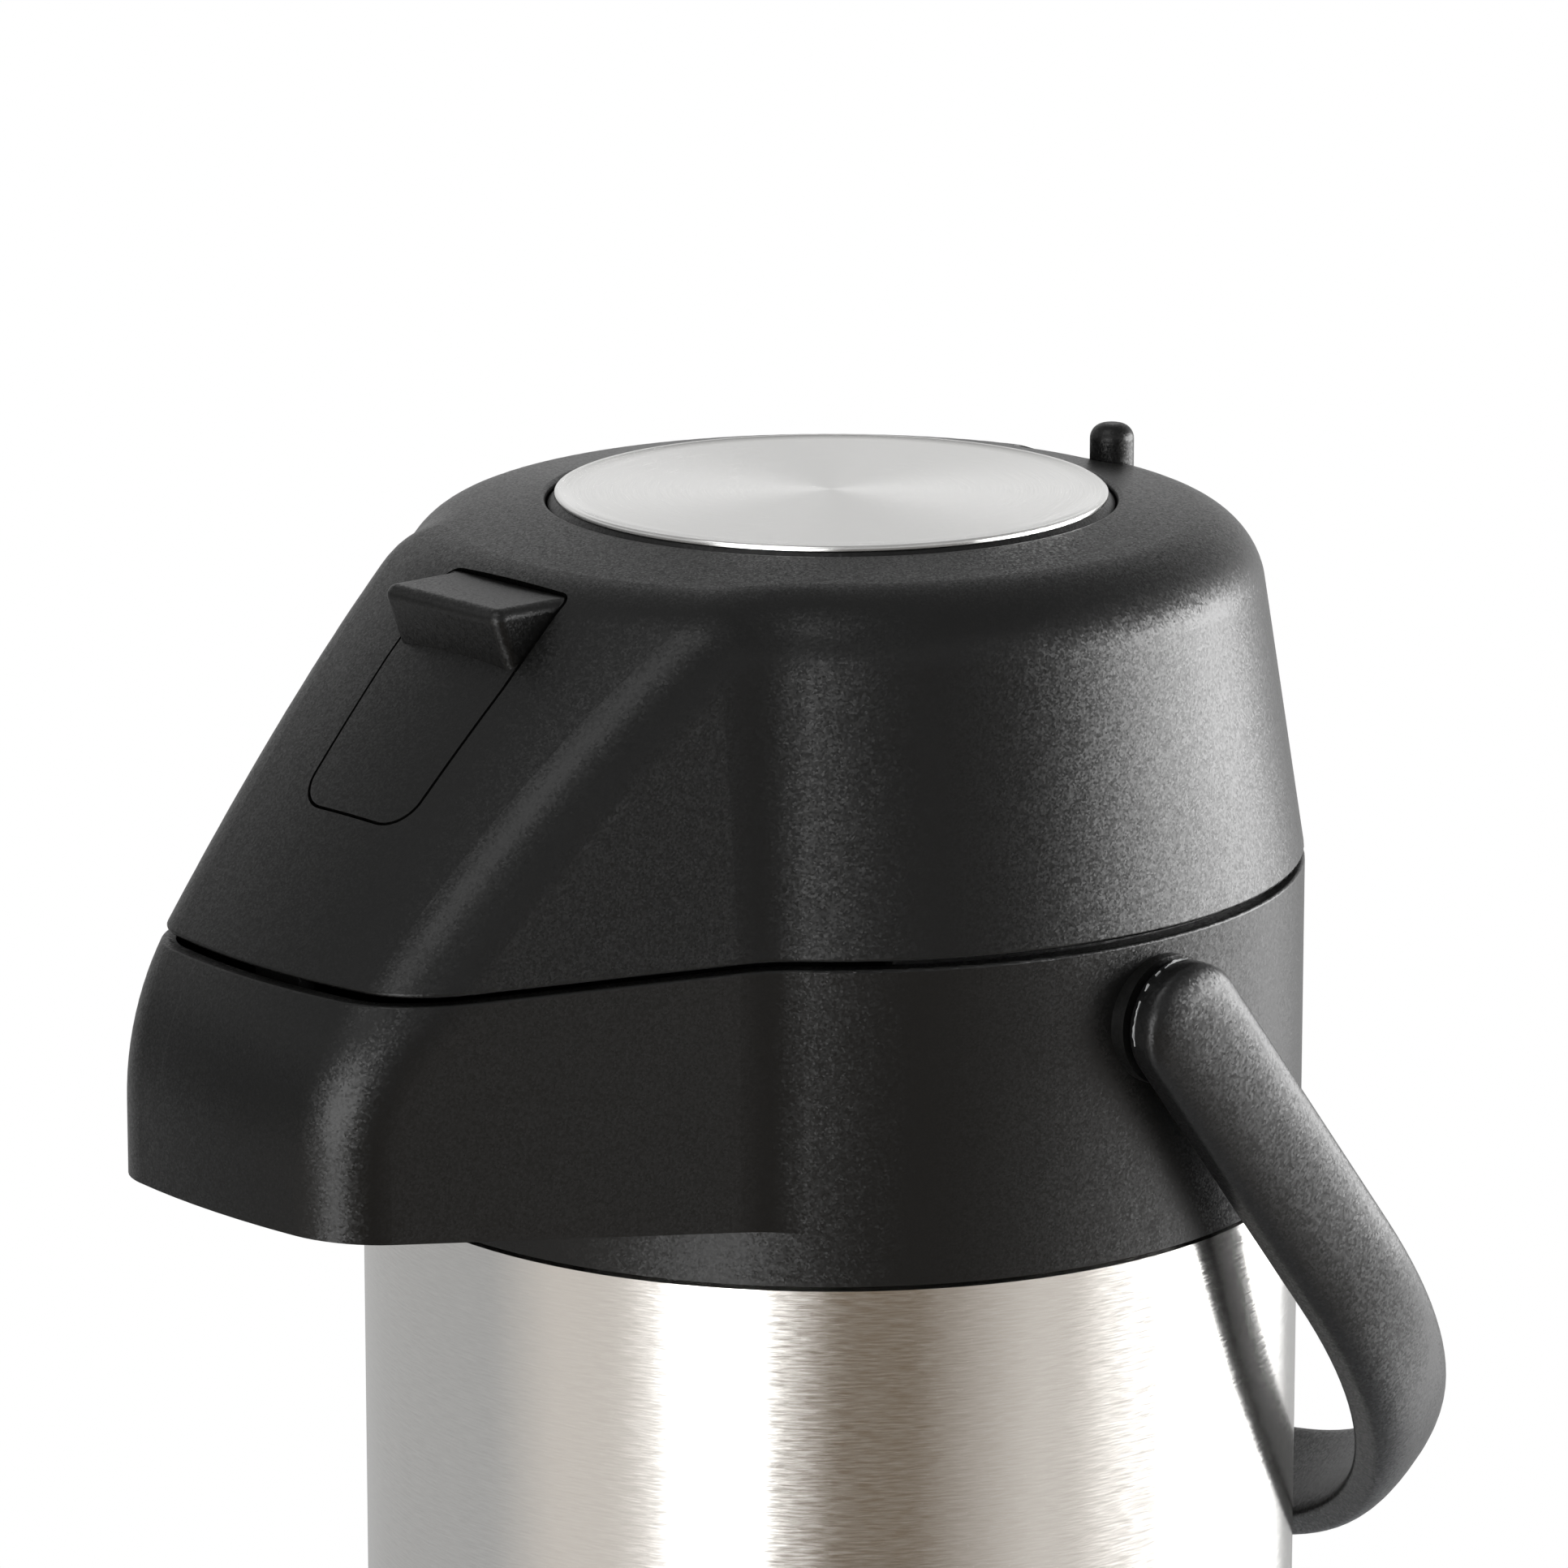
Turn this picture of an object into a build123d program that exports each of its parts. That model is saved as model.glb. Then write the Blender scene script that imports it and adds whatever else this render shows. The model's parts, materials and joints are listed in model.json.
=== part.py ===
from build123d import *
from math import acos, atan2, cos, degrees, hypot, radians, sin, tan
import os

# Pump airpot. Millimetres, +Z up. The origin is on the axis of the round body, on the
# surface that the pot stands on. The spout points to -Y, the handle turns about the X
# direction and the lid is hinged at the back, +Y.

# Body, lid and seam
BODY_R = 80.0             # outside radius of the collar, the lid's foot and the base ring
SEAM_Z = 316.0            # height of the seam between lid and collar
SEAM_GAP = 1.2            # open joint between lid and collar
COLLAR_DROP = 53.5        # from the seam down to the collar's lower edge
SHELL_WALL = 2.5          # wall of the moulded lid and collar
RUN = 0.05                # radial running clearance of pins and pivots
GAP = 0.3                 # clearance between pieces that meet but don't press

# Nose in plan
NOSE_REACH = 124.8        # from the body axis to the front of the nose at the seam
NOSE_HALF = 31.2          # half width of the nose where it reaches NOSE_REACH
NOSE_FLARE = 18.3         # degrees between a nose side and the middle plane
VALLEY_R = 22.0           # hollow curve where a nose side runs into the round body

# Lid
LID_DRAFT = 8.9           # degrees that the lid's wall leans in
LID_RISE = 60.4           # dome height above the seam at the button hole
LID_CROWN = 8.3           # degrees that the dome's top falls away outwards
HOOD_SLOPE = 46.6         # degrees of the hood above the level
HOOD_BEND_R = 18.0        # bend between the hood and the dome's top
HOOD_BOW = 1.3            # the hood's front bows out by this much between seam and bend
RIDGE_R = 14.0            # rounding along the hood's ridges and the dome's shoulder
HOLE_AIR = 0.4            # between the button's cup and its hole
HOLE_EDGE_R = 0.8         # rounding of the hole's upper edge
SEAM_EDGE_R = 0.5         # rounding of the outer edges along the seam
GUIDE_WALL = 2.2          # sleeve that guides the button
GUIDE_FOOT = 26.0         # lower edge of that sleeve above the seam

# Collar
NOSE_STEP = 0.8           # the collar stands this far in front of the lid at the nose
NOSE_BULGE = 8.7          # the nose swells by this much below the seam
BULGE_DROP = 26.0         # depth below the seam at which the nose is fullest
NOSE_DEPTH = 42.5         # underside of the nose below the seam, at the body
NOSE_LIFT = 5.2           # degrees that the underside rises to the front
NOSE_CORNER_R = 15.0      # upright front corners of the nose
DECK_DROP = 24.0          # top of the collar's inner deck below the seam
DECK_THICK = 2.2
LIP_RISE = 2.2            # lip that centres the lid, above the seam
LIP_THICK = 1.3
COVER_THICK = 2.0         # cover that closes the nose from below
COVER_SEAT = 0.4          # it lies this far inside the nose's lower edge
COVER_GAP = 0.15          # between the cover and the wall round it
THROAT_GAP = 2.0          # between the steel neck and the collar's throat
THROAT_WALL = 2.5
FLANGE_THICK = 2.2        # flange at the foot of the throat, clamped by the mouth ring
FLANGE_DROP = 5.2         # its underside below the top of the steel neck

# Vacuum flask
STEEL = 0.9               # sheet thickness of casing and flask
CASING_INSET = 0.4        # the casing lies this far inside the collar's outer face
CASING_FOOT_Z = 20.0      # lower edge of the steel casing
SHOULDER_INSET = 3.0      # casing drawn in under the collar
SHOULDER_STEP = 0.6       # height of the step from the casing in to that shoulder
SHOULDER_HIGH = 1.2       # upright height of the shoulder
VACUUM = 9.6              # between casing and flask
FLASK_FLOOR_Z = 34.0
FLASK_SHOULDER_Z = 246.0
FLASK_CORNER_R = 8.0      # outer corners of its floor and shoulder
FLASK_CORNER_AIR = 1.0    # its welds lie this far beyond the corners
NECK_R = 38.0             # outer neck
NECK_VACUUM = 3.6         # between outer and inner neck
NECK_DROP = 39.0          # top of the steel neck below the seam

# Base and turning foot
BASE_Z = 6.4              # lower edge of the base ring
BASE_FLOOR = 2.4
FOOT_INSET = 3.0          # the foot plate's rim inside the base ring's
FOOT_Z = 1.2              # underside of the foot plate
FOOT_THICK = 4.6
PAD_INSET = 7.0           # the rubber ring's rim inside the foot plate's
PAD_WIDE = 8.0
PIVOT_R = 9.0             # boss that the foot turns on

# Handle
HANDLE_Z_DROP = 14.0      # pivots below the seam
HANDLE_BOSS_R = 10.8
HANDLE_BOSS = 2.0         # the pivot boss stands out by this much
HANDLE_THICK = 8.0
HANDLE_WIDTH = 21.0
HANDLE_LENGTH = 147.3     # from the pivots to the middle of the grip's band
HANDLE_EDGE_R = 4.4       # outer edges
HANDLE_INNER_EDGE_R = 1.8
HANDLE_LEAN = 0.4         # gap between the hanging grip and the casing
PIN_R = 4.0
PIN_HEAD_R = 7.0
PIN_HEAD = 2.5

# Pump
BUTTON_R = 47.0           # steel disc of the button
BUTTON_TOP = 61.9         # top of the steel disc above the seam
BUTTON_THICK = 1.2
BUTTON_EDGE_R = 1.0
CUP_RIM = 0.5             # the cup stands out past the disc
CUP_WALL = 2.0
CUP_TOP = 2.4
STROKE = 26.0
LUG_HIGH = 2.6            # height of the lock ring's tabs
BELLOWS_AIR = 3.2         # between the bellows and the cup round it
BELLOWS_RIB = 8.0
BELLOWS_RIBS = 7
BELLOWS_WALL = 1.4
SPRING_R = 13.0
SPRING_WIRE_R = 1.1
SPRING_TURNS = 6

# Lid liner, the moulding that closes the lid from below
LINER_Z = 2.8             # underside of its plate above the seam
LINER_THICK = 2.2
WELL_AIR = 4.0            # between the bellows and the well in the liner that holds it
WELL_WALL = 2.0
WELL_FLOOR = 15.0         # top of its floor below the seam
PLUG_AIR = 4.0            # the plug that carries the seal is this much smaller than the neck
SEAL_OVER = 0.8           # the seal reaches this far past the neck
SCREW_INSET = 15.0        # screws from the outside of the body
SCREW_R = 1.7
SCREW_HEAD_R = 3.2

# Lock ring
LOCK_TOP = 51.0           # top of the ring above the seam
LOCK_THICK = 2.4
LOCK_AIR = 0.5            # between the guide sleeve and the lock ring
LOCK_WIDE = 8.7
PEG_R = 3.8
PEG_OUT = 2.6             # middle of the peg outside the ring
PEG_TOP = 64.9            # above the seam
PEG_EDGE_R = 2.6
PEG_ANGLE = 86.6          # degrees from +X, just beside the back
LOCK_TURN = 16.0          # degrees from open to locked
TAB_ARC = 14.0            # degrees that a tab spans
TAB_AIR = 1.5             # degrees of clearance on each side of a tab
TAB_UNDER = 1.6           # the tabs reach this far in under the cup
TAB_LEG = 2.4             # thickness of the leg that carries a tab
TAB_ANGLES = (30.0, 150.0, 270.0)

# Latch
LATCH_RUN = 20.5          # lower end of the lever behind the nose's front, level distance
LATCH_LONG = 33.4         # level length of the lever
TAB_LONG = 15.4           # level length of its finger tab
TAB_LEAN = 4.4            # the tab's front leans back by this much down to the hood
TAB_SUNK = 1.6            # top of the tab below the hood's line, unbent, at its back edge
LATCH_TAB_EDGE_R = 2.0
LATCH_TOP_WIDE = 30.0
LATCH_LOW_WIDE = 26.6
LATCH_CORNER_R = 6.5
LATCH_TOP_CORNER_R = 2.4
LATCH_GAP = 0.55
LATCH_PIVOT_UP = 7.0      # pivot from the lever's lower end, along the hood
LATCH_PIVOT_DEEP = 5.0    # pivot below the hood's surface
LATCH_HUB_R = 3.4
LATCH_PIN_R = 1.5
LATCH_ARM = 3.0
LATCH_ARM_WIDE = 11.0
HOOK_DROP = 8.0           # lower end of the hook below the seam
LEDGE_DROP = 3.0          # top of the catch below the seam
LEDGE_THICK = 2.5
LEDGE_BITE = 1.5          # the hook reaches this far under the catch
HOOK_AIR = 0.6            # between the hook and the plain wall in front of it
LUG_THICK = 3.0           # lugs in the lid that carry the latch pin
LUG_AIR = 1.6             # between a lug and the window's edge

# Lid hinge
HINGE_OUT = 4.6           # pin of the lid's hinge behind the body
HINGE_R = 4.0
HINGE_PIN_R = 1.6
HINGE_MID_HALF = 10.0     # half width of the lid's knuckle
HINGE_END = 18.5          # outer ends of the collar's knuckles

# Liquid way
TUBE_Y = -24.0            # dip tube, forward of the axis
TUBE_R = 4.4
TUBE_BORE_R = 3.0
TUBE_FOOT_Z = 42.0
PIPE_DROP = 32.0          # level pipe below the seam
PIPE_R = 4.2
PIPE_BORE_R = 2.6
NOZZLE_BACK = 14.0        # nozzle behind the nose's front
NOZZLE_R = 6.0
NOZZLE_BELOW = 5.0        # the nozzle stands out below the nose

# Worked out from the sizes above
CUP_R = BUTTON_R + CUP_RIM
HOLE_R = CUP_R + HOLE_AIR
BELLOWS_R = CUP_R - CUP_WALL - BELLOWS_AIR
WELL_R = BELLOWS_R + WELL_AIR + WELL_WALL
LOCK_IN_R = HOLE_R + GUIDE_WALL + LOCK_AIR
LOCK_OUT_R = LOCK_IN_R + LOCK_WIDE
PEG_AT_R = LOCK_OUT_R + PEG_OUT
TAB_IN_R = CUP_R - TAB_UNDER
SCREW_RING_R = BODY_R - SCREW_INSET
CASING_R = BODY_R - CASING_INSET
SHOULDER_R = BODY_R - SHOULDER_INSET
FLASK_R = CASING_R - VACUUM
FLASK_NECK_R = NECK_R - NECK_VACUUM
PLUG_R = NECK_R - PLUG_AIR
SEAL_R = NECK_R + SEAL_OVER
FOOT_R = BODY_R - FOOT_INSET
PAD_OUT_R = FOOT_R - PAD_INSET
PAD_IN_R = PAD_OUT_R - PAD_WIDE
HANDLE_BOSS_OUT = BODY_R + HANDLE_BOSS
HINGE_Y = BODY_R + HINGE_OUT
NOZZLE_Y = NOZZLE_BACK - NOSE_REACH
LATCH_LOW_U = NOSE_REACH - LATCH_RUN
LATCH_LOW_H = LATCH_RUN * tan(radians(HOOD_SLOPE))
LATCH_BACK_U = LATCH_LOW_U - LATCH_LONG
TAB_FRONT_U = LATCH_BACK_U + TAB_LONG
TAB_H = (LATCH_RUN + LATCH_LONG) * tan(radians(HOOD_SLOPE)) - TAB_SUNK
NECK_Z = SEAM_Z - NECK_DROP
DECK_Z = SEAM_Z - DECK_DROP
COLLAR_LOW_Z = SEAM_Z - COLLAR_DROP
FLASK_RIM_Z = NECK_Z + STEEL
MOUTH_Z = SEAM_Z - DECK_DROP - 2.0
HANDLE_Z = SEAM_Z - HANDLE_Z_DROP
HALF_GAP = SEAM_GAP / 2
HANDLE_MID = HANDLE_BOSS_OUT + 0.25 + HANDLE_THICK / 2
HANDLE_INNER = HANDLE_LENGTH - HANDLE_THICK / 2
BUTTON_UNDER = BUTTON_TOP - BUTTON_THICK
CUP_UNDER = BUTTON_UNDER - CUP_TOP
TAB_TOP = CUP_UNDER - STROKE - 0.4
CUP_FOOT = TAB_TOP + 0.4
THROAT_IN = NECK_R + THROAT_GAP
THROAT_OUT = THROAT_IN + THROAT_WALL
FLANGE_Z = NECK_Z - FLANGE_DROP
HOOK_TIP = NOSE_REACH - SHELL_WALL - HOOK_AIR
LATCH_PIVOT_U = (LATCH_LOW_U - LATCH_PIVOT_UP * cos(radians(HOOD_SLOPE))
                 - LATCH_PIVOT_DEEP * sin(radians(HOOD_SLOPE)))
LATCH_PIVOT_H = (LATCH_LOW_H + LATCH_PIVOT_UP * sin(radians(HOOD_SLOPE))
                 - LATCH_PIVOT_DEEP * cos(radians(HOOD_SLOPE)))


def box(x0, x1, y0, y1, z0, z1):
    return Pos((x0 + x1) / 2, (y0 + y1) / 2, (z0 + z1) / 2) * Box(x1 - x0, y1 - y0, z1 - z0)


def rod(radius, z0, z1, x=0.0, y=0.0):
    return Pos(x, y, (z0 + z1) / 2) * Cylinder(radius, z1 - z0)


def tube(outer, inner, z0, z1, x=0.0, y=0.0):
    return rod(outer, z0, z1, x, y) - rod(inner, z0 - 1, z1 + 1, x, y)


def rod_x(radius, x0, x1, y, z):
    return Pos((x0 + x1) / 2, y, z) * Rot(0, 90, 0) * Cylinder(radius, abs(x1 - x0))


def rod_y(radius, y0, y1, x, z):
    return Pos(x, (y0 + y1) / 2, z) * Rot(90, 0, 0) * Cylinder(radius, abs(y1 - y0))


def sector(radius, start, end, z0, z1):
    """Wedge about the body axis between two angles in degrees, under 180 apart."""
    far = radius / cos(radians((end - start) / 4))
    rim = [(far * cos(radians(a)), far * sin(radians(a))) for a in (start, (start + end) / 2, end)]
    return extrude(Pos(0, 0, z0) * make_face(Polyline((0, 0), *rim, close=True)), amount=z1 - z0)


def spring_solid(radius, wire_r, turns, pitch):
    """Round wire wound about +Z from the origin, in half turns that are tilted half circles."""
    path = []
    for k in range(2 * turns):
        side = 1 if k % 2 == 0 else -1
        low = k * pitch / 2
        high = low + pitch / 2
        bow = hypot(radius, pitch / 4)
        path.append(ThreePointArc((side * radius, 0, low), (0, side * bow, (low + high) / 2),
                                  (-side * radius, 0, high)))
    print("spring of", turns, "turns, least gap", round(pitch - 2 * wire_r, 2), "mm")
    start = Plane(origin=(radius, 0, 0), z_dir=(0, 1, 0))
    return sweep(start * Circle(wire_r), path=Wire(path))


def turned(*points):
    """Solid of revolution about the body axis from (radius, height) points."""
    return revolve(Plane.XZ * make_face(Polyline(*points, close=True)), Axis.Z)


def side_plate(points, half_width, rounding=0.0):
    """Plate across the middle plane, from (forward, height above the seam) points."""
    outline = make_face(Polyline(*[(-u, SEAM_Z + h) for u, h in points], close=True))
    if rounding:
        outline = fillet(outline.vertices(), rounding)
    return extrude(Plane.YZ * outline, amount=half_width, both=True)


# Outer form of lid and collar
def plan(grow, reach):
    """Body circle and nose seen from above, every side moved out by grow."""
    flare = radians(NOSE_FLARE)
    side = grow / cos(flare)

    def half(u):
        return NOSE_HALF + (NOSE_REACH - u) * tan(flare) + side

    far = reach + 30
    wedge = Polyline((-half(0), 0), (half(0), 0), (half(far), -far), (-half(far), -far), close=True)
    nose = make_face(wedge)
    outline = Sketch() + Circle(BODY_R + grow) + (nose & Circle(reach + grow))
    roots = [v for v in outline.vertices() if -0.95 * BODY_R < v.Y < -0.5 * BODY_R]
    return fillet(roots, VALLEY_R - grow)


def hood_profile(inset, below):
    """Half outline of hood and dome top about the body axis, from below the seam up."""
    slope = tan(radians(HOOD_SLOPE))
    crown = tan(radians(LID_CROWN))
    foot_r = NOSE_REACH - inset / sin(radians(HOOD_SLOPE))
    peak = LID_RISE - inset / cos(radians(LID_CROWN)) + HOLE_R * crown
    bend_r = (foot_r * slope - peak) / (slope - crown)
    bend_h = (foot_r - bend_r) * slope
    low_r = foot_r + below / slope
    tilt = radians(HOOD_SLOPE)
    middle = ((foot_r + bend_r) / 2 + HOOD_BOW * sin(tilt), bend_h / 2 + HOOD_BOW * cos(tilt))
    front = ThreePointArc((foot_r, 0), middle, (bend_r, bend_h))
    rest = Polyline((bend_r, bend_h), (0, peak), (0, -below), (low_r, -below), (foot_r, 0))
    outline = make_face([front, rest])
    bend = [v for v in outline.vertices() if abs(v.X - bend_r) < 0.01 and v.Y > 1]
    return fillet(bend, HOOD_BEND_R - inset)


def lid_form(inset):
    """Filled form of dome and hood, its surface moved in by inset, cut off at the seam."""
    below = 16.0
    lean = below * tan(radians(LID_DRAFT))
    foot = Pos(0, 0, -below) * plan(lean - inset, NOSE_REACH + 2 * below)
    walls = extrude(foot, amount=LID_RISE + 2 * below, taper=LID_DRAFT)
    form = walls & revolve(Plane.XZ * hood_profile(inset, below), Axis.Z)
    crown_z = LID_RISE + HOLE_R * tan(radians(LID_CROWN))
    ridge = []
    for edge in form.edges():
        ends = edge.bounding_box()
        level = edge.geom_type == GeomType.CIRCLE and ends.max.Z - ends.min.Z < 0.01
        curved = edge.geom_type in (GeomType.HYPERBOLA, GeomType.BSPLINE)
        shoulder = level and ends.max.Z > 0.5 * crown_z and edge.radius > BODY_R - LID_RISE * 0.2
        if curved or shoulder:
            ridge.append(edge)
    form = fillet(ridge, RIDGE_R - inset)
    reach = 2 * NOSE_REACH
    form = form & box(-reach, reach, -reach, reach, HALF_GAP, 2 * LID_RISE)
    return Pos(0, 0, SEAM_Z) * form


def softened(form, height, radius):
    """The form with the edge round its level face at this height rounded."""
    rim = [f for f in form.faces() if abs(f.normal_at().Z) > 0.99 and abs(f.center().Z - height) < 0.01]
    return fillet(rim[0].outer_wire().edges(), radius)


def collar_form(inset, top=0.0, open_below=False):
    """Filled form of the collar with its nose, moved in by inset, up to the seam."""
    start = NOSE_REACH + NOSE_STEP - inset
    full = start + NOSE_BULGE
    low = -NOSE_DEPTH - 4
    swell = ThreePointArc((start, 0), (start + 0.72 * NOSE_BULGE, -0.44 * BULGE_DROP), (full, -BULGE_DROP))
    rest = Polyline((full, -BULGE_DROP), (full, low), (0, low), (0, 0), (start, 0))
    front = revolve(Plane.XZ * make_face([swell, rest]), Axis.Z)
    nose = extrude(Pos(0, 0, low) * plan(-inset, full + 10), amount=-low) & front
    corners = []
    for edge in nose.edges():
        ends = edge.bounding_box()
        if ends.max.Y < -BODY_R and ends.max.Z - ends.min.Z > 5:
            corners.append(edge)
    nose = fillet(corners, NOSE_CORNER_R - inset)
    if not open_below:
        under = Pos(0, -BODY_R, -NOSE_DEPTH + inset) * Rot(-NOSE_LIFT, 0, 0)
        nose = nose - under * box(-200, 200, -200, 200, -60, 0)
    drum = rod(BODY_R - inset, -COLLAR_DROP, 0)
    form = nose + drum
    form = form & box(-200, 200, -200, 200, -COLLAR_DROP - 1, -HALF_GAP + top)
    return Pos(0, 0, SEAM_Z) * form


def collar_hollow(gap):
    """Space inside the collar's wall, less gap: the drum and the nose, open from below."""
    inset = SHELL_WALL + gap
    root_top = SEAM_Z - NOSE_DEPTH + COVER_SEAT + COVER_THICK + 1
    root = tube(BODY_R + gap, BODY_R - inset, COLLAR_LOW_Z - 1, root_top)
    return collar_form(inset, top=5, open_below=True) - root


def lid_walls():
    return softened(lid_form(0), SEAM_Z + HALF_GAP, SEAM_EDGE_R) - lid_form(SHELL_WALL)


# Steel vessel
def casing_form(inset):
    z_step = COLLAR_LOW_Z - GAP - SHOULDER_STEP
    flat_r = NECK_R + 6
    top = NECK_Z + (1 if inset else 0)
    foot = CASING_FOOT_Z - (1 if inset else 0)
    flat_z = NECK_Z - 5.5
    points = [(0, foot), (CASING_R - inset, foot), (CASING_R - inset, z_step - inset)]
    points += [(SHOULDER_R - inset, z_step + SHOULDER_STEP - inset)]
    points += [(SHOULDER_R - inset, z_step + SHOULDER_STEP + SHOULDER_HIGH - inset)]
    points += [(flat_r, flat_z - inset), (NECK_R - inset, flat_z - inset), (NECK_R - inset, top), (0, top)]
    return turned(*points)


def flask_form(inset):
    top = FLASK_RIM_Z + (1 if inset else 0)
    neck_foot = NECK_Z - 13.0
    points = [(0, FLASK_FLOOR_Z + inset), (FLASK_R - inset, FLASK_FLOOR_Z + inset)]
    points += [(FLASK_R - inset, FLASK_SHOULDER_Z), (FLASK_NECK_R - inset, neck_foot)]
    points += [(FLASK_NECK_R - inset, top), (0, top)]
    outline = make_face(Polyline(*points, close=True))
    wide = [v for v in outline.vertices() if v.X > FLASK_R - inset - 1]
    outline = fillet(wide, FLASK_CORNER_R - inset)
    root = [v for v in outline.vertices() if abs(v.Y - neck_foot) < 0.01 and v.X > 1]
    outline = fillet(root, 5 + inset)
    return revolve(Plane.XZ * outline, Axis.Z)


def make_casing():
    return casing_form(0) - casing_form(STEEL)


def flask_between(z0, z1):
    """The flask's wall between two heights, where its pieces are welded."""
    return (flask_form(0) - flask_form(STEEL)) & box(-BODY_R, BODY_R, -BODY_R, BODY_R, z0, z1)


def make_flask_base():
    return flask_between(0, FLASK_FLOOR_Z + FLASK_CORNER_R + FLASK_CORNER_AIR)


def make_flask():
    low = FLASK_FLOOR_Z + FLASK_CORNER_R + FLASK_CORNER_AIR
    return flask_between(low, FLASK_SHOULDER_Z - FLASK_CORNER_R / 2 - FLASK_CORNER_AIR)


def make_flask_shoulder():
    rim = tube(NECK_R, FLASK_NECK_R - STEEL, NECK_Z, FLASK_RIM_Z)
    return flask_between(FLASK_SHOULDER_Z - FLASK_CORNER_R / 2 - FLASK_CORNER_AIR, SEAM_Z) + rim


def make_casing_bottom():
    outer = CASING_R - STEEL
    low = CASING_FOOT_Z + 0.5
    dish = 7.0
    points = [(outer, low), (outer, low + dish), (20, low + dish + 2), (0, low + dish + 2)]
    points += [(0, low + dish + 2 - STEEL), (20, low + dish + 2 - STEEL), (outer - STEEL, low + dish - STEEL)]
    points += [(outer - STEEL, low)]
    return turned(*points)


# Collar and what sits in it
def port(radius, y0, y1):
    return rod_y(radius, y0, y1, 0, SEAM_Z - PIPE_DROP)


def latch_catch():
    """Ledge inside the nose front that the latch hook holds on to."""
    back = HOOK_TIP - LEDGE_BITE
    front = NOSE_REACH + NOSE_BULGE
    low = -LEDGE_DROP - LEDGE_THICK
    half = LATCH_ARM_WIDE / 2 + 2
    ledge = side_plate([(back, -LEDGE_DROP), (front, -LEDGE_DROP), (front, low), (back, low)], half)
    return ledge & collar_form(SHELL_WALL / 2)


def make_collar():
    solid = softened(collar_form(0), SEAM_Z - HALF_GAP, SEAM_EDGE_R) - collar_hollow(0)
    deck = collar_form(SHELL_WALL - 0.6) & box(-200, 200, -200, 200, DECK_Z - DECK_THICK, DECK_Z)
    solid = solid + (deck - rod(THROAT_IN, DECK_Z - 10, DECK_Z + 10))
    solid = solid + tube(THROAT_OUT, THROAT_IN, FLANGE_Z, DECK_Z)
    solid = solid + tube(THROAT_OUT, NECK_R + GAP, FLANGE_Z, FLANGE_Z + FLANGE_THICK)
    lip = plan(-SHELL_WALL - 0.6, NOSE_REACH) - plan(-SHELL_WALL - 0.6 - LIP_THICK, NOSE_REACH)
    root = plan(-SHELL_WALL + 0.6, NOSE_REACH) - plan(-SHELL_WALL - 0.6 - LIP_THICK, NOSE_REACH)
    rim = extrude(Pos(0, 0, SEAM_Z - 7) * root, amount=7 - HALF_GAP)
    rim = rim + extrude(Pos(0, 0, SEAM_Z - HALF_GAP) * lip, amount=LIP_RISE + HALF_GAP)
    solid = solid + (rim & box(-200, 200, -BODY_R * 0.55, 200, SEAM_Z - 10, SEAM_Z + 10))
    for side in (-1, 1):
        boss = rod_x(HANDLE_BOSS_R, side * (BODY_R - 5), side * HANDLE_BOSS_OUT, 0, HANDLE_Z)
        solid = solid + boss
        solid = solid - rod_x(PIN_R + 0.02, side * (BODY_R - 8), side * (HANDLE_BOSS_OUT + 2), 0, HANDLE_Z)
    for side in (-1, 1):
        x0, x1 = sorted((side * (HINGE_MID_HALF + GAP), side * HINGE_END))
        knuckle = rod_x(HINGE_R, x0, x1, HINGE_Y, SEAM_Z)
        web = box(x0, x1, BODY_R - 8, HINGE_Y + HINGE_R, SEAM_Z - 11, SEAM_Z - 1)
        slant = Pos(0, HINGE_Y + HINGE_R, SEAM_Z - 1) * Rot(45, 0, 0) * box(-40, 40, -30, 30, -30, -3.4)
        web = (web - slant) - rod(BODY_R - 3, SEAM_Z - 20, SEAM_Z + 5)
        solid = solid + (knuckle + web)
    solid = solid - rod_x(HINGE_PIN_R, -HINGE_END - 1, HINGE_END + 1, HINGE_Y, SEAM_Z)
    solid = solid - port(PIPE_R + 0.2, -BODY_R, -20)
    return solid + latch_catch()


def make_nose_cover():
    tilt = Pos(0, -BODY_R, SEAM_Z - NOSE_DEPTH) * Rot(-NOSE_LIFT, 0, 0)
    slab = tilt * box(-200, 200, -200, 200, COVER_SEAT, COVER_SEAT + COVER_THICK)
    plate = (slab & collar_hollow(COVER_GAP)) - rod(BODY_R + COVER_GAP, COLLAR_LOW_Z, SEAM_Z)
    return plate - rod(NOZZLE_R + COVER_GAP, COLLAR_LOW_Z, SEAM_Z, 0, NOZZLE_Y)


def make_mouth_ring():
    shoulder = FLASK_RIM_Z + 1.5
    outer = THROAT_IN - GAP
    skirt = tube(outer, NECK_R + 0.1, FLANGE_Z + FLANGE_THICK + 0.2, shoulder)
    ring = tube(outer, FLASK_NECK_R - STEEL, shoulder, MOUTH_Z)
    return skirt + ring - port(PIPE_R + 0.1, -BODY_R, -20)


def make_flask_gasket():
    return tube(NECK_R - 0.2, FLASK_NECK_R - STEEL + 0.5, FLASK_RIM_Z + 0.05, FLASK_RIM_Z + 1.45)


def make_tube_head():
    level = SEAM_Z - PIPE_DROP
    top = level + PIPE_R + 1.2
    socket = rod(TUBE_R + 2.6, level - 22, top, 0, TUBE_Y)
    arm = port(PIPE_R, -THROAT_OUT - 6, TUBE_Y)
    head = socket + arm
    head = head - rod(TUBE_R + 0.05, level - 23, level - 8, 0, TUBE_Y)
    head = head - rod(TUBE_BORE_R, level - 10, level + PIPE_BORE_R + 0.5, 0, TUBE_Y)
    return head - port(PIPE_BORE_R, -THROAT_OUT - 7, TUBE_Y)


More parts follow.
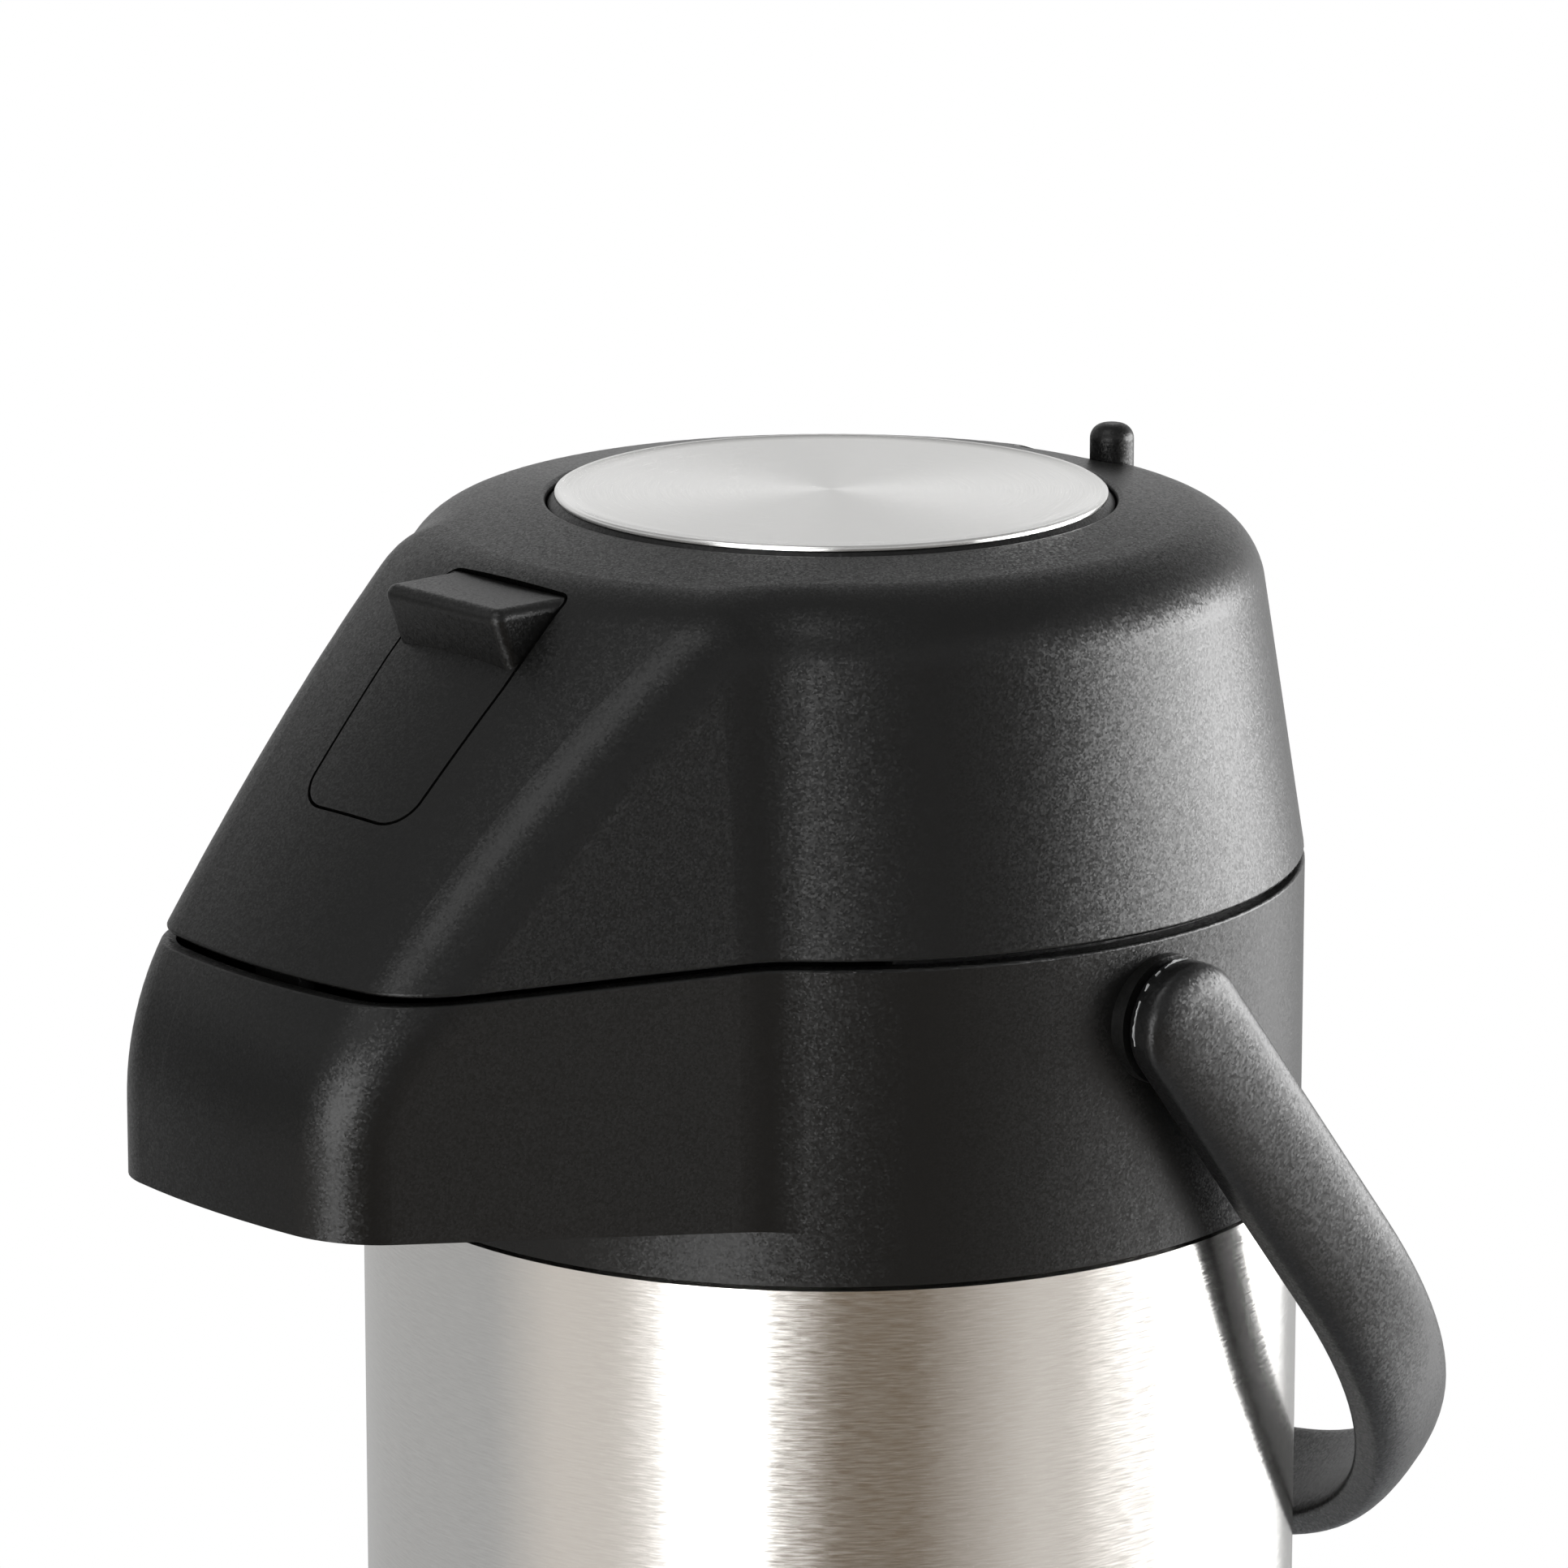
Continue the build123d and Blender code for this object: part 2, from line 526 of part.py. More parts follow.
def make_dip_tube():
    level = SEAM_Z - PIPE_DROP
    pipe = tube(TUBE_R, TUBE_BORE_R, TUBE_FOOT_Z, level - 8.1, 0, TUBE_Y)
    notch = box(-1.5, 1.5, TUBE_Y - 10, TUBE_Y + 10, TUBE_FOOT_Z - 1, TUBE_FOOT_Z + 5)
    return pipe - notch


def make_spout_pipe():
    """Silicone pipe pushed over the arm of the tube head and the spigot of the nozzle."""
    level = SEAM_Z - PIPE_DROP
    start = -THROAT_OUT - 0.6
    end = NOZZLE_Y + NOZZLE_R + 0.4
    pipe = rod_y(PIPE_R + 1.25, end, start, 0, level)
    return pipe - rod_y(PIPE_R + 0.05, end - 1, start + 1, 0, level)


def make_spout_outlet():
    level = SEAM_Z - PIPE_DROP
    low = SEAM_Z - NOSE_DEPTH - (NOZZLE_Y + BODY_R) * tan(radians(NOSE_LIFT)) - NOZZLE_BELOW
    top = level + PIPE_R + 1.0
    body = rod(NOZZLE_R, low, top, 0, NOZZLE_Y)
    body = fillet(body.edges().group_by(Axis.Z)[-1], 1.5)
    body = body + rod_y(PIPE_R, NOZZLE_Y, NOZZLE_Y + NOZZLE_R + 10, 0, level)
    body = body - rod_y(PIPE_BORE_R, NOZZLE_Y, NOZZLE_Y + NOZZLE_R + 11, 0, level)
    flare = Cone(NOZZLE_R - 1.0, TUBE_BORE_R + 0.6, 8, align=(Align.CENTER, Align.CENTER, Align.MIN))
    mouth = Pos(0, NOZZLE_Y, low) * flare
    return body - mouth - rod(TUBE_BORE_R + 0.6, low + 6, level, 0, NOZZLE_Y)


# Base and turning foot
def make_base_ring():
    floor_top = BASE_Z + BASE_FLOOR
    wall_top = CASING_FOOT_Z - GAP
    spigot = CASING_R - 2 * STEEL - 0.2
    spigot_top = CASING_FOOT_Z + 6.0
    floor = rod(BODY_R, BASE_Z, floor_top)
    floor = fillet(floor.edges().group_by(Axis.Z)[0], 1.5)
    ring = floor + tube(BODY_R, spigot - 2.6, floor_top, wall_top)
    ring = ring + tube(spigot, spigot - 2.6, floor_top, spigot_top)
    for k in range(8):
        rib = box(PIVOT_R + 4, spigot - 1, -1, 1, floor_top - 0.5, floor_top + 7)
        ring = ring + Rot(0, 0, 45 * k) * rib
    ring = ring + rod(PIVOT_R + 5, BASE_Z, floor_top + 9)
    ring = ring + tube(PAD_IN_R + 2, PAD_IN_R - 4, BASE_Z - 0.55, BASE_Z)
    ring = ring + rod(PIVOT_R, FOOT_Z + 2.2, BASE_Z)
    return ring - rod(2.52, 0, floor_top + 7)


def make_foot_plate():
    top = FOOT_Z + FOOT_THICK
    plate = rod(FOOT_R, FOOT_Z, top)
    plate = fillet(plate.edges().group_by(Axis.Z)[-1], 1.2)
    plate = plate - rod(PIVOT_R + RUN, FOOT_Z - 1, top + 1)
    plate = plate - rod(PIVOT_R + 6, FOOT_Z - 1, FOOT_Z + 2.2)
    plate = plate - tube(PAD_IN_R - 6, PIVOT_R + 12, FOOT_Z - 1, FOOT_Z + 1.4)
    return plate - tube(PAD_OUT_R + 0.1, PAD_IN_R - 0.1, FOOT_Z - 1, FOOT_Z + 0.8)


def make_foot_pad():
    ring = tube(PAD_OUT_R, PAD_IN_R, 0, FOOT_Z + 0.75)
    return fillet(ring.edges().group_by(Axis.Z)[0], 0.4)


def make_foot_washer():
    return tube(PIVOT_R + 4, 2.7, FOOT_Z + 1.0, FOOT_Z + 2.15)


def make_foot_screw():
    head = rod(5.0, FOOT_Z - 0.6, FOOT_Z + 0.95)
    drive = box(-0.6, 0.6, -3.4, 3.4, FOOT_Z - 1, FOOT_Z - 0.1)
    drive = drive + Rot(0, 0, 90) * drive
    return head - drive + rod(2.5, FOOT_Z + 0.95, BASE_Z + BASE_FLOOR + 6)


# Handle
def make_handle():
    """Bail: straight arms and a half round grip in one band, hung from the pivots."""
    outer = HANDLE_MID + HANDLE_THICK / 2
    inner = HANDLE_MID - HANDLE_THICK / 2
    bend = HANDLE_LENGTH - HANDLE_MID
    half = HANDLE_WIDTH / 2

    def arch(r):
        lines = Polyline((-r, bend), (-r, 0), (r, 0), (r, bend))
        return make_face([lines, ThreePointArc((r, bend), (0, bend + r), (-r, bend))])

    band = extrude(arch(outer) - arch(inner), amount=half, both=True)
    for side in (-1, 1):
        band = band + rod_x(half, side * inner, side * outer, 0, 0)

    def on_face(edge, r):
        point = edge @ 0.5
        away = abs(point.X) if point.Y < bend else hypot(point.X, point.Y - bend)
        return abs(away - r) < 0.05

    band = fillet([e for e in band.edges() if on_face(e, outer)], HANDLE_EDGE_R)
    band = fillet([e for e in band.edges() if on_face(e, inner)], HANDLE_INNER_EDGE_R)
    for side in (-1, 1):
        band = band - rod_x(PIN_R + RUN, side * (inner - 1), side * (outer - 1.3), 0, 0)
    reach = hypot(HANDLE_INNER, half)
    hang = degrees(acos((CASING_R + HANDLE_LEAN) / reach) - atan2(half, HANDLE_INNER))
    return Pos(0, 0, HANDLE_Z) * Rot(-hang, 0, 0) * band


def make_pivot_pin(side):
    back = BODY_R - 5 - 0.1
    shank = rod_x(PIN_R, side * back, side * (HANDLE_MID + HANDLE_THICK / 2 - 1.6), 0, HANDLE_Z)
    return shank + rod_x(PIN_HEAD_R, side * (back - PIN_HEAD), side * back, 0, HANDLE_Z)


# Lid
def hood_plane():
    """Plane on the hood's middle line at the latch's lower end, its y up the slope."""
    tilt = radians(HOOD_SLOPE)
    low = (0, -LATCH_LOW_U, SEAM_Z + LATCH_LOW_H)
    return Plane(origin=low, x_dir=(1, 0, 0), z_dir=(0, -sin(tilt), cos(tilt)))


def latch_window(gap):
    """Prism through the hood wall round the latch lever, moved in by gap."""
    long = LATCH_LONG / cos(radians(HOOD_SLOPE)) - gap
    low = LATCH_LOW_WIDE / 2 - gap
    wide = LATCH_TOP_WIDE / 2 - gap
    bend = long * 0.6
    corners = [(-low, gap), (low, gap), (wide, bend), (wide, long), (-wide, long), (-wide, bend)]
    outline = make_face(Polyline(*corners, close=True))
    outline = fillet([v for v in outline.vertices() if v.Y < gap + 1], LATCH_CORNER_R - gap)
    outline = fillet([v for v in outline.vertices() if v.Y > long - 0.1], LATCH_TOP_CORNER_R - gap)
    return extrude(hood_plane() * outline, amount=14, both=True)


def peg_slot():
    swing = PEG_R + 0.4
    start = PEG_ANGLE
    z0 = SEAM_Z + LOCK_TOP + 0.3
    z1 = SEAM_Z + LID_RISE + 5
    slot = tube(PEG_AT_R + swing, PEG_AT_R - swing, z0, z1) & sector(BODY_R, start, start + LOCK_TURN, z0, z1)
    for angle in (start, start + LOCK_TURN):
        slot = slot + rod(swing, z0, z1, PEG_AT_R * cos(radians(angle)), PEG_AT_R * sin(radians(angle)))
    return slot


def screw_places():
    return [(SCREW_RING_R * cos(radians(a)), SCREW_RING_R * sin(radians(a))) for a in (45, 135, 225, 315)]


def make_lid():
    shell = lid_walls()
    inside = lid_form(1.0)
    guide = tube(HOLE_R + GUIDE_WALL, HOLE_R - 1, SEAM_Z + GUIDE_FOOT, SEAM_Z + LID_RISE + 3)
    shell = shell + (guide & inside)
    boss_z = SEAM_Z + LINER_Z + LINER_THICK
    posts = []
    for x, y in screw_places():
        turn = degrees(atan2(y, x))
        web = Rot(0, 0, turn) * box(SCREW_RING_R, BODY_R, -1, 1, boss_z + 1, boss_z + 34)
        posts.append(rod(4.0, boss_z, boss_z + 34, x, y) + web)
    u, z = LATCH_PIVOT_U, SEAM_Z + LATCH_PIVOT_H
    lug_in = LATCH_LOW_WIDE / 2 + LUG_AIR
    for side in (-1, 1):
        x0, x1 = sorted((side * lug_in, side * (lug_in + LUG_THICK)))
        posts.append(box(x0, x1, -u - 5, -u + 5, z - 4, z + 18))
    for post in posts:
        shell = shell + (post & inside)
    knuckle = rod_x(HINGE_R, -HINGE_MID_HALF, HINGE_MID_HALF, HINGE_Y, SEAM_Z)
    web = side_plate([(-BODY_R + 3, 0.7), (-HINGE_Y, 0.7), (-HINGE_Y, HINGE_R - 0.2), (-BODY_R + 2, 11)],
                     HINGE_MID_HALF)
    shell = shell + (knuckle + (web - lid_form(SHELL_WALL / 2)))
    shell = shell - rod_x(HINGE_PIN_R + RUN, -HINGE_MID_HALF - 1, HINGE_MID_HALF + 1, HINGE_Y, SEAM_Z)
    shell = shell - rod(HOLE_R, SEAM_Z + 10, SEAM_Z + LID_RISE + 10)
    brim = [e for e in shell.edges().filter_by(GeomType.CIRCLE)
            if abs(e.radius - HOLE_R) < 0.01 and abs(e.bounding_box().min.Z - SEAM_Z - LID_RISE) < 0.5]
    shell = fillet(brim, HOLE_EDGE_R)
    shell = shell - peg_slot() - latch_window(0)
    shell = shell - rod_x(LATCH_PIN_R + 0.02, -LATCH_LOW_WIDE, LATCH_LOW_WIDE, -u, z)
    reach = TAB_ARC / 2 + TAB_AIR
    for angle in TAB_ANGLES:
        z0 = SEAM_Z + TAB_TOP - LUG_HIGH - 0.4
        z1 = SEAM_Z + TAB_TOP + 0.4
        ring = tube(HOLE_R + GUIDE_WALL + 1, HOLE_R - 1, z0, z1)
        shell = shell - (ring & sector(BODY_R, angle - reach, angle + LOCK_TURN + reach, z0, z1))
    for x, y in screw_places():
        shell = shell - rod(SCREW_R + 0.02, boss_z - 1, boss_z + 16, x, y)
    return shell


def make_liner():
    low = SEAM_Z + LINER_Z
    plate = lid_form(SHELL_WALL + GAP) & box(-200, 200, -200, 200, low, low + LINER_THICK)
    floor = SEAM_Z - WELL_FLOOR
    liner = plate + rod(WELL_R, floor - LINER_THICK, low)
    liner = liner - rod(WELL_R - WELL_WALL, floor, low + LINER_THICK + 1)
    liner = liner + rod(PLUG_R, floor - LINER_THICK - 4.6, floor - LINER_THICK)
    liner = liner - rod(8.0, floor - LINER_THICK - 6, floor + 1)
    slot = LATCH_ARM_WIDE / 2 + 1.5
    liner = liner - box(-slot, slot, -NOSE_REACH, -LATCH_PIVOT_U - 5, low - 1, low + LINER_THICK + 1)
    for x, y in screw_places():
        liner = liner - rod(SCREW_R + 0.3, low - 1, low + LINER_THICK + 1, x, y)
    return liner


def make_lid_seal():
    floor = SEAM_Z - WELL_FLOOR - LINER_THICK
    ring = tube(SEAL_R, PLUG_R + 0.1, MOUTH_Z + GAP, floor - 0.05)
    return ring


def make_liner_screws():
    low = SEAM_Z + LINER_Z
    screws = []
    for x, y in screw_places():
        head = rod(SCREW_HEAD_R, low - 1.8, low, x, y)
        screws.append(head + rod(SCREW_R, low, low + 15, x, y))
    return Compound(children=screws)


def make_hinge_pin():
    return rod_x(HINGE_PIN_R, -HINGE_END, HINGE_END, HINGE_Y, SEAM_Z)


# Pump
def make_button_plate():
    plate = rod(BUTTON_R, SEAM_Z + BUTTON_UNDER, SEAM_Z + BUTTON_TOP)
    return fillet(plate.edges().group_by(Axis.Z)[-1], BUTTON_EDGE_R)


def make_button_cup():
    foot = SEAM_Z + CUP_FOOT
    top = SEAM_Z + BUTTON_UNDER
    cup = rod(CUP_R, foot, top)
    cup = chamfer(cup.edges().group_by(Axis.Z)[-1], 1.4)
    cup = cup - rod(CUP_R - CUP_WALL, foot - 1, top - CUP_TOP)
    cup = cup + tube(SPRING_R - SPRING_WIRE_R - 0.4, 9, top - CUP_TOP - 5, top - CUP_TOP)
    reach = TAB_ARC / 2 + TAB_AIR
    for angle in TAB_ANGLES:
        ring = tube(CUP_R + 1, CUP_R - CUP_WALL - 0.5, foot - 1, top - CUP_TOP)
        cup = cup - (ring & sector(BODY_R, angle - reach, angle + reach, foot - 1, top - CUP_TOP))
    return cup


def make_bellows():
    """Ribbed bellows: ridges and valleys in turn, with a flat flange at each end."""
    low = SEAM_Z - WELL_FLOOR + 0.05
    high = SEAM_Z + CUP_UNDER - 0.05
    flange = 2.0
    pitch = (high - low - 2 * flange) / BELLOWS_RIBS
    valley = BELLOWS_R - BELLOWS_RIB
    outer = [(BELLOWS_R, low), (BELLOWS_R, low + flange)]
    inner = [(valley - BELLOWS_WALL, low), (valley - BELLOWS_WALL, low + flange)]
    for k in range(BELLOWS_RIBS):
        z = low + flange + k * pitch
        outer += [(valley, z + 0.06 * pitch), (BELLOWS_R, z + pitch / 2), (valley, z + 0.94 * pitch)]
        inner += [(valley - BELLOWS_WALL, z + 0.06 * pitch), (BELLOWS_R - 1.6 * BELLOWS_WALL, z + pitch / 2)]
        inner += [(valley - BELLOWS_WALL, z + 0.94 * pitch)]
    outer += [(BELLOWS_R, high - flange), (BELLOWS_R, high)]
    inner += [(valley - BELLOWS_WALL, high - flange), (valley - BELLOWS_WALL, high)]
    return turned(*outer, *reversed(inner))


def make_pump_spring():
    low = SEAM_Z - WELL_FLOOR + SPRING_WIRE_R + 0.1
    high = SEAM_Z + CUP_UNDER - SPRING_WIRE_R - 0.1
    return Pos(0, 0, low) * spring_solid(SPRING_R, SPRING_WIRE_R, SPRING_TURNS, (high - low) / SPRING_TURNS)


def make_bellows_valve():
    floor = SEAM_Z - WELL_FLOOR
    flap = turned((0, floor + 0.05), (10.5, floor + 0.05), (10.5, floor + 0.8), (3, floor + 2.0), (0, floor + 2.0))
    return flap + rod(2.0, floor - LINER_THICK - 3, floor + 0.05)


def make_lock_ring():
    low = SEAM_Z + LOCK_TOP - LOCK_THICK
    top = SEAM_Z + LOCK_TOP
    tab_low = SEAM_Z + TAB_TOP - LUG_HIGH
    leg_r = LOCK_IN_R + TAB_LEG
    ring = tube(LOCK_OUT_R, LOCK_IN_R, low, top)
    section = [(LOCK_IN_R, low + 0.5), (LOCK_IN_R, tab_low + LUG_HIGH), (TAB_IN_R, tab_low + LUG_HIGH)]
    section += [(TAB_IN_R, tab_low), (leg_r, tab_low), (leg_r, low + 0.5)]
    hook = revolve(Plane.XZ * make_face(Polyline(*section, close=True)), Axis.Z, TAB_ARC)
    for angle in TAB_ANGLES:
        ring = ring + Rot(0, 0, angle - TAB_ARC / 2) * hook
    arm = box(LOCK_IN_R + 4, PEG_AT_R, -PEG_R, PEG_R, low, top)
    peg = rod(PEG_R, low, SEAM_Z + PEG_TOP, PEG_AT_R)
    peg = fillet(peg.edges().group_by(Axis.Z)[-1], PEG_EDGE_R)
    return ring + Rot(0, 0, PEG_ANGLE) * (arm + peg)


# Latch
def make_latch():
    """Lever flush in the hood: skin, finger tab, hub and the arm with its hook."""
    skin = lid_walls() & latch_window(LATCH_GAP)
    skin = skin - box(-BODY_R, BODY_R, -NOSE_REACH, 0, SEAM_Z + TAB_H, SEAM_Z + LID_RISE)
    slope = tan(radians(HOOD_SLOPE))

    def under(u, depth):
        return (NOSE_REACH - u) * slope - depth / cos(radians(HOOD_SLOPE))

    root_u = TAB_FRONT_U - TAB_LEAN
    tab = side_plate([(LATCH_BACK_U, TAB_H), (TAB_FRONT_U, TAB_H), (root_u, under(root_u, 0.8)),
                      (LATCH_BACK_U + 4, under(LATCH_BACK_U + 4, 4.5))], LATCH_TOP_WIDE / 2 - LATCH_GAP)
    corners = [e for e in tab.edges() if max(e.start_point().Y, e.end_point().Y) < 0.1 - root_u
               and e.bounding_box().size.X < 0.01]
    tab = fillet(corners, LATCH_TAB_EDGE_R)
    rim = [e for e in tab.edges().group_by(Axis.Z)[-1] if (e @ 0.5).Y < -LATCH_BACK_U - 0.1]
    tab = fillet(rim, LATCH_TAB_EDGE_R - 0.2) & latch_window(LATCH_GAP)
    u, h = LATCH_PIVOT_U, LATCH_PIVOT_H
    hub_half = LATCH_LOW_WIDE / 2 - 3
    hub = rod_x(LATCH_HUB_R, -hub_half, hub_half, -u, SEAM_Z + h)
    back = u - LATCH_HUB_R
    front = u + LATCH_HUB_R - 0.8
    neck = side_plate([(back, h), (front, h), (front, under(front, 1.2)), (back, under(back, 1.2))], hub_half)
    back_u = HOOK_TIP - LEDGE_BITE - 0.5
    arm = side_plate([(u + 2.4, h - 1.0), (back_u, -0.5), (back_u, -LEDGE_DROP - LEDGE_THICK - GAP),
                      (HOOK_TIP, -LEDGE_DROP - LEDGE_THICK - GAP), (HOOK_TIP, -HOOK_DROP + 0.6),
                      (HOOK_TIP - 1.5, -HOOK_DROP), (back_u - LATCH_ARM, -HOOK_DROP),
                      (back_u - LATCH_ARM, -1.5), (u - 1.5, h - 2.6)], LATCH_ARM_WIDE / 2)
    lever = skin + tab + hub + neck + arm
    return lever - rod_x(LATCH_PIN_R + RUN, -BODY_R, BODY_R, -u, SEAM_Z + h)


def make_latch_pin():
    end = LATCH_LOW_WIDE / 2 + LUG_AIR + LUG_THICK
    return rod_x(LATCH_PIN_R, -end, end, -LATCH_PIVOT_U, SEAM_Z + LATCH_PIVOT_H)


def main():
    os.makedirs("parts", exist_ok=True)
    pieces = {
        "casing": make_casing(),
        "inner_flask": make_flask(),
        "flask_base": make_flask_base(),
        "flask_shoulder": make_flask_shoulder(),
        "casing_bottom": make_casing_bottom(),
        "collar": make_collar(),
        "nose_cover": make_nose_cover(),
        "mouth_ring": make_mouth_ring(),
        "flask_gasket": make_flask_gasket(),
        "tube_head": make_tube_head(),
        "dip_tube": make_dip_tube(),
        "spout_pipe": make_spout_pipe(),
        "spout_outlet": make_spout_outlet(),
        "base_ring": make_base_ring(),
        "foot_screw": make_foot_screw(),
        "foot_washer": make_foot_washer(),
        "foot_plate": make_foot_plate(),
        "foot_pad": make_foot_pad(),
        "handle_bail": make_handle(),
        "pivot_pin_left": make_pivot_pin(-1),
        "pivot_pin_right": make_pivot_pin(1),
        "lid_shell": make_lid(),
        "lid_liner": make_liner(),
        "lid_seal": make_lid_seal(),
        "liner_screws": make_liner_screws(),
        "hinge_pin": make_hinge_pin(),
        "button_plate": make_button_plate(),
        "button_cup": make_button_cup(),
        "bellows": make_bellows(),
        "pump_spring": make_pump_spring(),
        "bellows_valve": make_bellows_valve(),
        "lock_ring": make_lock_ring(),
        "latch_lever": make_latch(),
        "latch_pin": make_latch_pin(),
    }
    for name, shape in pieces.items():
        export_step(shape, f"parts/{name}.step")
    print(len(pieces), "pieces written")


main()
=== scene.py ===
# %% [markdown]
# # A pump airpot
#
# The finished construction comes in as a fixed frame, and this lesson dresses it: a camera at the
# photograph's angle, soft studio light, black moulded plastic with its fine grain, steel that is brushed
# round the body and in circles on the button, and the small things that a mould leaves. Everything is in
# metres, +Z up, with the spout towards -Y.

# %% Load the frame
import json
from math import atan2, cos, degrees, pi, radians, sin

import bmesh
import bpy
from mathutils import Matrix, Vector


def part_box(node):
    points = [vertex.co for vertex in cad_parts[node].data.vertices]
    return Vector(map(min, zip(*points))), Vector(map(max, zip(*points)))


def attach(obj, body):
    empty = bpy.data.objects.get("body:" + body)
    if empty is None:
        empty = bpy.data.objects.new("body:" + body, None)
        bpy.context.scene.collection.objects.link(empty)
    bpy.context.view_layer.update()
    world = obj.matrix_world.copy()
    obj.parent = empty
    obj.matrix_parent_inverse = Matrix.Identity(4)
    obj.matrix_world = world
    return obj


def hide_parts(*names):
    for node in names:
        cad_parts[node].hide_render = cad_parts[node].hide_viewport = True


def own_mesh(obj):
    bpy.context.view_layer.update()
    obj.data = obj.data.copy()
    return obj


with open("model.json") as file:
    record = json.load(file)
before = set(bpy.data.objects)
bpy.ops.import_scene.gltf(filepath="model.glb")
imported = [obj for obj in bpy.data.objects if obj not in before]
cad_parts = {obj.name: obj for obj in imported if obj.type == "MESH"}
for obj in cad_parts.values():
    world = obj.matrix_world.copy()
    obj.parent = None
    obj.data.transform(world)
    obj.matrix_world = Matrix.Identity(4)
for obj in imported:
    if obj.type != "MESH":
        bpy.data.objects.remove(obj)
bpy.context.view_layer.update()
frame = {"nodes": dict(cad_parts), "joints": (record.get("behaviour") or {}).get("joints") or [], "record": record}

# %% [markdown]
# ## Where things are
#
# A few places are read from the frame, so that the lesson needs no second set of measurements. The seam
# between collar and lid lies at the height of the lid's hinge, and half the width of the round base is
# the radius that the camera was measured in.

# %% Places read from the frame
def joint_named(name):
    return next(joint for joint in frame["joints"] if joint["name"] == name)


button_low, button_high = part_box("button_plate")
base_low, base_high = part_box("base_ring")
BODY_R = (base_high.x - base_low.x) / 2
SEAM_Z = joint_named("lid_hinge")["pos_m"][2]
print("body radius", round(BODY_R, 4), "seam at", round(SEAM_Z, 4))

# %% [markdown]
# ## Camera
#
# The camera stands 48 degrees round from the spout, on the handle's side, and looks down a little. It is
# a long lens from about a metre and a half, so upright edges stay nearly upright. Distance, tilt and aim
# came from the body's width and the ellipses of button, seam and collar in the photograph.

# %% Camera
AZIMUTH = radians(48.0)
ELEVATION = radians(13.74)
DISTANCE = 18.0 * BODY_R
AIM_SIDE = -0.099 * BODY_R
AIM_UP = 0.132 * BODY_R
FOCAL_PX = 10516.0
IMAGE_PX = 1932.0
SENSOR_MM = 36.0
NEAR_CLIP = 0.05
FAR_CLIP = 50.0

aim = Vector((AIM_SIDE * cos(AZIMUTH), AIM_SIDE * sin(AZIMUTH), SEAM_Z + AIM_UP))
back = Vector((sin(AZIMUTH) * cos(ELEVATION), -cos(AZIMUTH) * cos(ELEVATION), sin(ELEVATION)))
bpy.ops.object.camera_add(location=aim + DISTANCE * back)
camera = bpy.context.object
camera.name = "camera"
camera.rotation_euler = (-back).to_track_quat("-Z", "Y").to_euler()
camera.data.sensor_width = SENSOR_MM
camera.data.lens = SENSOR_MM * FOCAL_PX / IMAGE_PX
camera.data.clip_start = NEAR_CLIP
camera.data.clip_end = FAR_CLIP
bpy.context.scene.camera = camera
bpy.context.scene.view_settings.view_transform = "Standard"
print("lens", round(camera.data.lens, 1), "mm at", round(DISTANCE, 3), "m")

# %% [markdown]
# ## Small helpers
#
# Operators act on everything that is selected, and the frame comes in selected, so each new piece starts
# from an empty selection. Nodes of a material are added by one short function that also sets their
# inputs, which keeps a material readable as a list.

# %% Helpers for selection and materials
def nothing_selected():
    if bpy.context.object and bpy.context.object.mode != "OBJECT":
        bpy.ops.object.mode_set(mode="OBJECT")
    bpy.ops.object.select_all(action="DESELECT")


def add_node(tree, kind, inputs=(), **settings):
    """A node of a tree, with its settings, and its inputs set or linked."""
    node = tree.nodes.new(kind)
    for name, value in settings.items():
        setattr(node, name, value)
    for name, value in dict(inputs).items():
        if isinstance(value, bpy.types.NodeSocket):
            tree.links.new(value, node.inputs[name])
        else:
            node.inputs[name].default_value = value
    return node


def new_material(name):
    """An empty material, its node tree and its output node."""
    material = bpy.data.materials.new(name)
    material.use_nodes = True
    tree = material.node_tree
    tree.nodes.clear()
    return material, tree, tree.nodes.new("ShaderNodeOutputMaterial")


def grey(value):
    return (value, value, value, 1.0)


def grey_tone(value):
    return (value, value, value)


# %% [markdown]
# The nodes that come up again and again get a function each, which adds the node and gives back the
# socket that the next one needs: sums on numbers and on vectors, a change of range, a mix of colours, and
# noise.

# %% Helpers for nodes that repeat
MIX_FIRST, MIX_SECOND, MIX_RESULT = 6, 7, 2


def number_sum(tree, operation, first, second=None):
    inputs = {0: first} if second is None else {0: first, 1: second}
    return add_node(tree, "ShaderNodeMath", inputs, operation=operation).outputs[0]


def vector_sum(tree, operation, first, second=None, scale=None):
    inputs = {0: first}
    if second is not None:
        inputs[1] = second
    if scale is not None:
        inputs["Scale"] = scale
    node = add_node(tree, "ShaderNodeVectorMath", inputs, operation=operation)
    return node.outputs["Value" if operation in ("LENGTH", "DISTANCE") else "Vector"]


def new_range(tree, value, old=(0.0, 1.0), new=(0.0, 1.0), **settings):
    """A value moved from its old range to a new one, and held within that."""
    inputs = {"Value": value, "From Min": old[0], "From Max": old[1], "To Min": new[0], "To Max": new[1]}
    return add_node(tree, "ShaderNodeMapRange", inputs, **settings).outputs["Result"]


def soft_step(tree, value, old, new=(0.0, 1.0)):
    return new_range(tree, value, old, new, interpolation_type="SMOOTHSTEP")


def mixed_colour(tree, factor, first, second):
    inputs = {"Factor": factor, MIX_FIRST: first, MIX_SECOND: second}
    return add_node(tree, "ShaderNodeMix", inputs, data_type="RGBA").outputs[MIX_RESULT]


def noise(tree, place, scale, **shape):
    """The strength of a noise texture; shape holds its Detail and Roughness."""
    return add_node(tree, "ShaderNodeTexNoise", {"Vector": place, "Scale": scale, **shape}).outputs["Fac"]


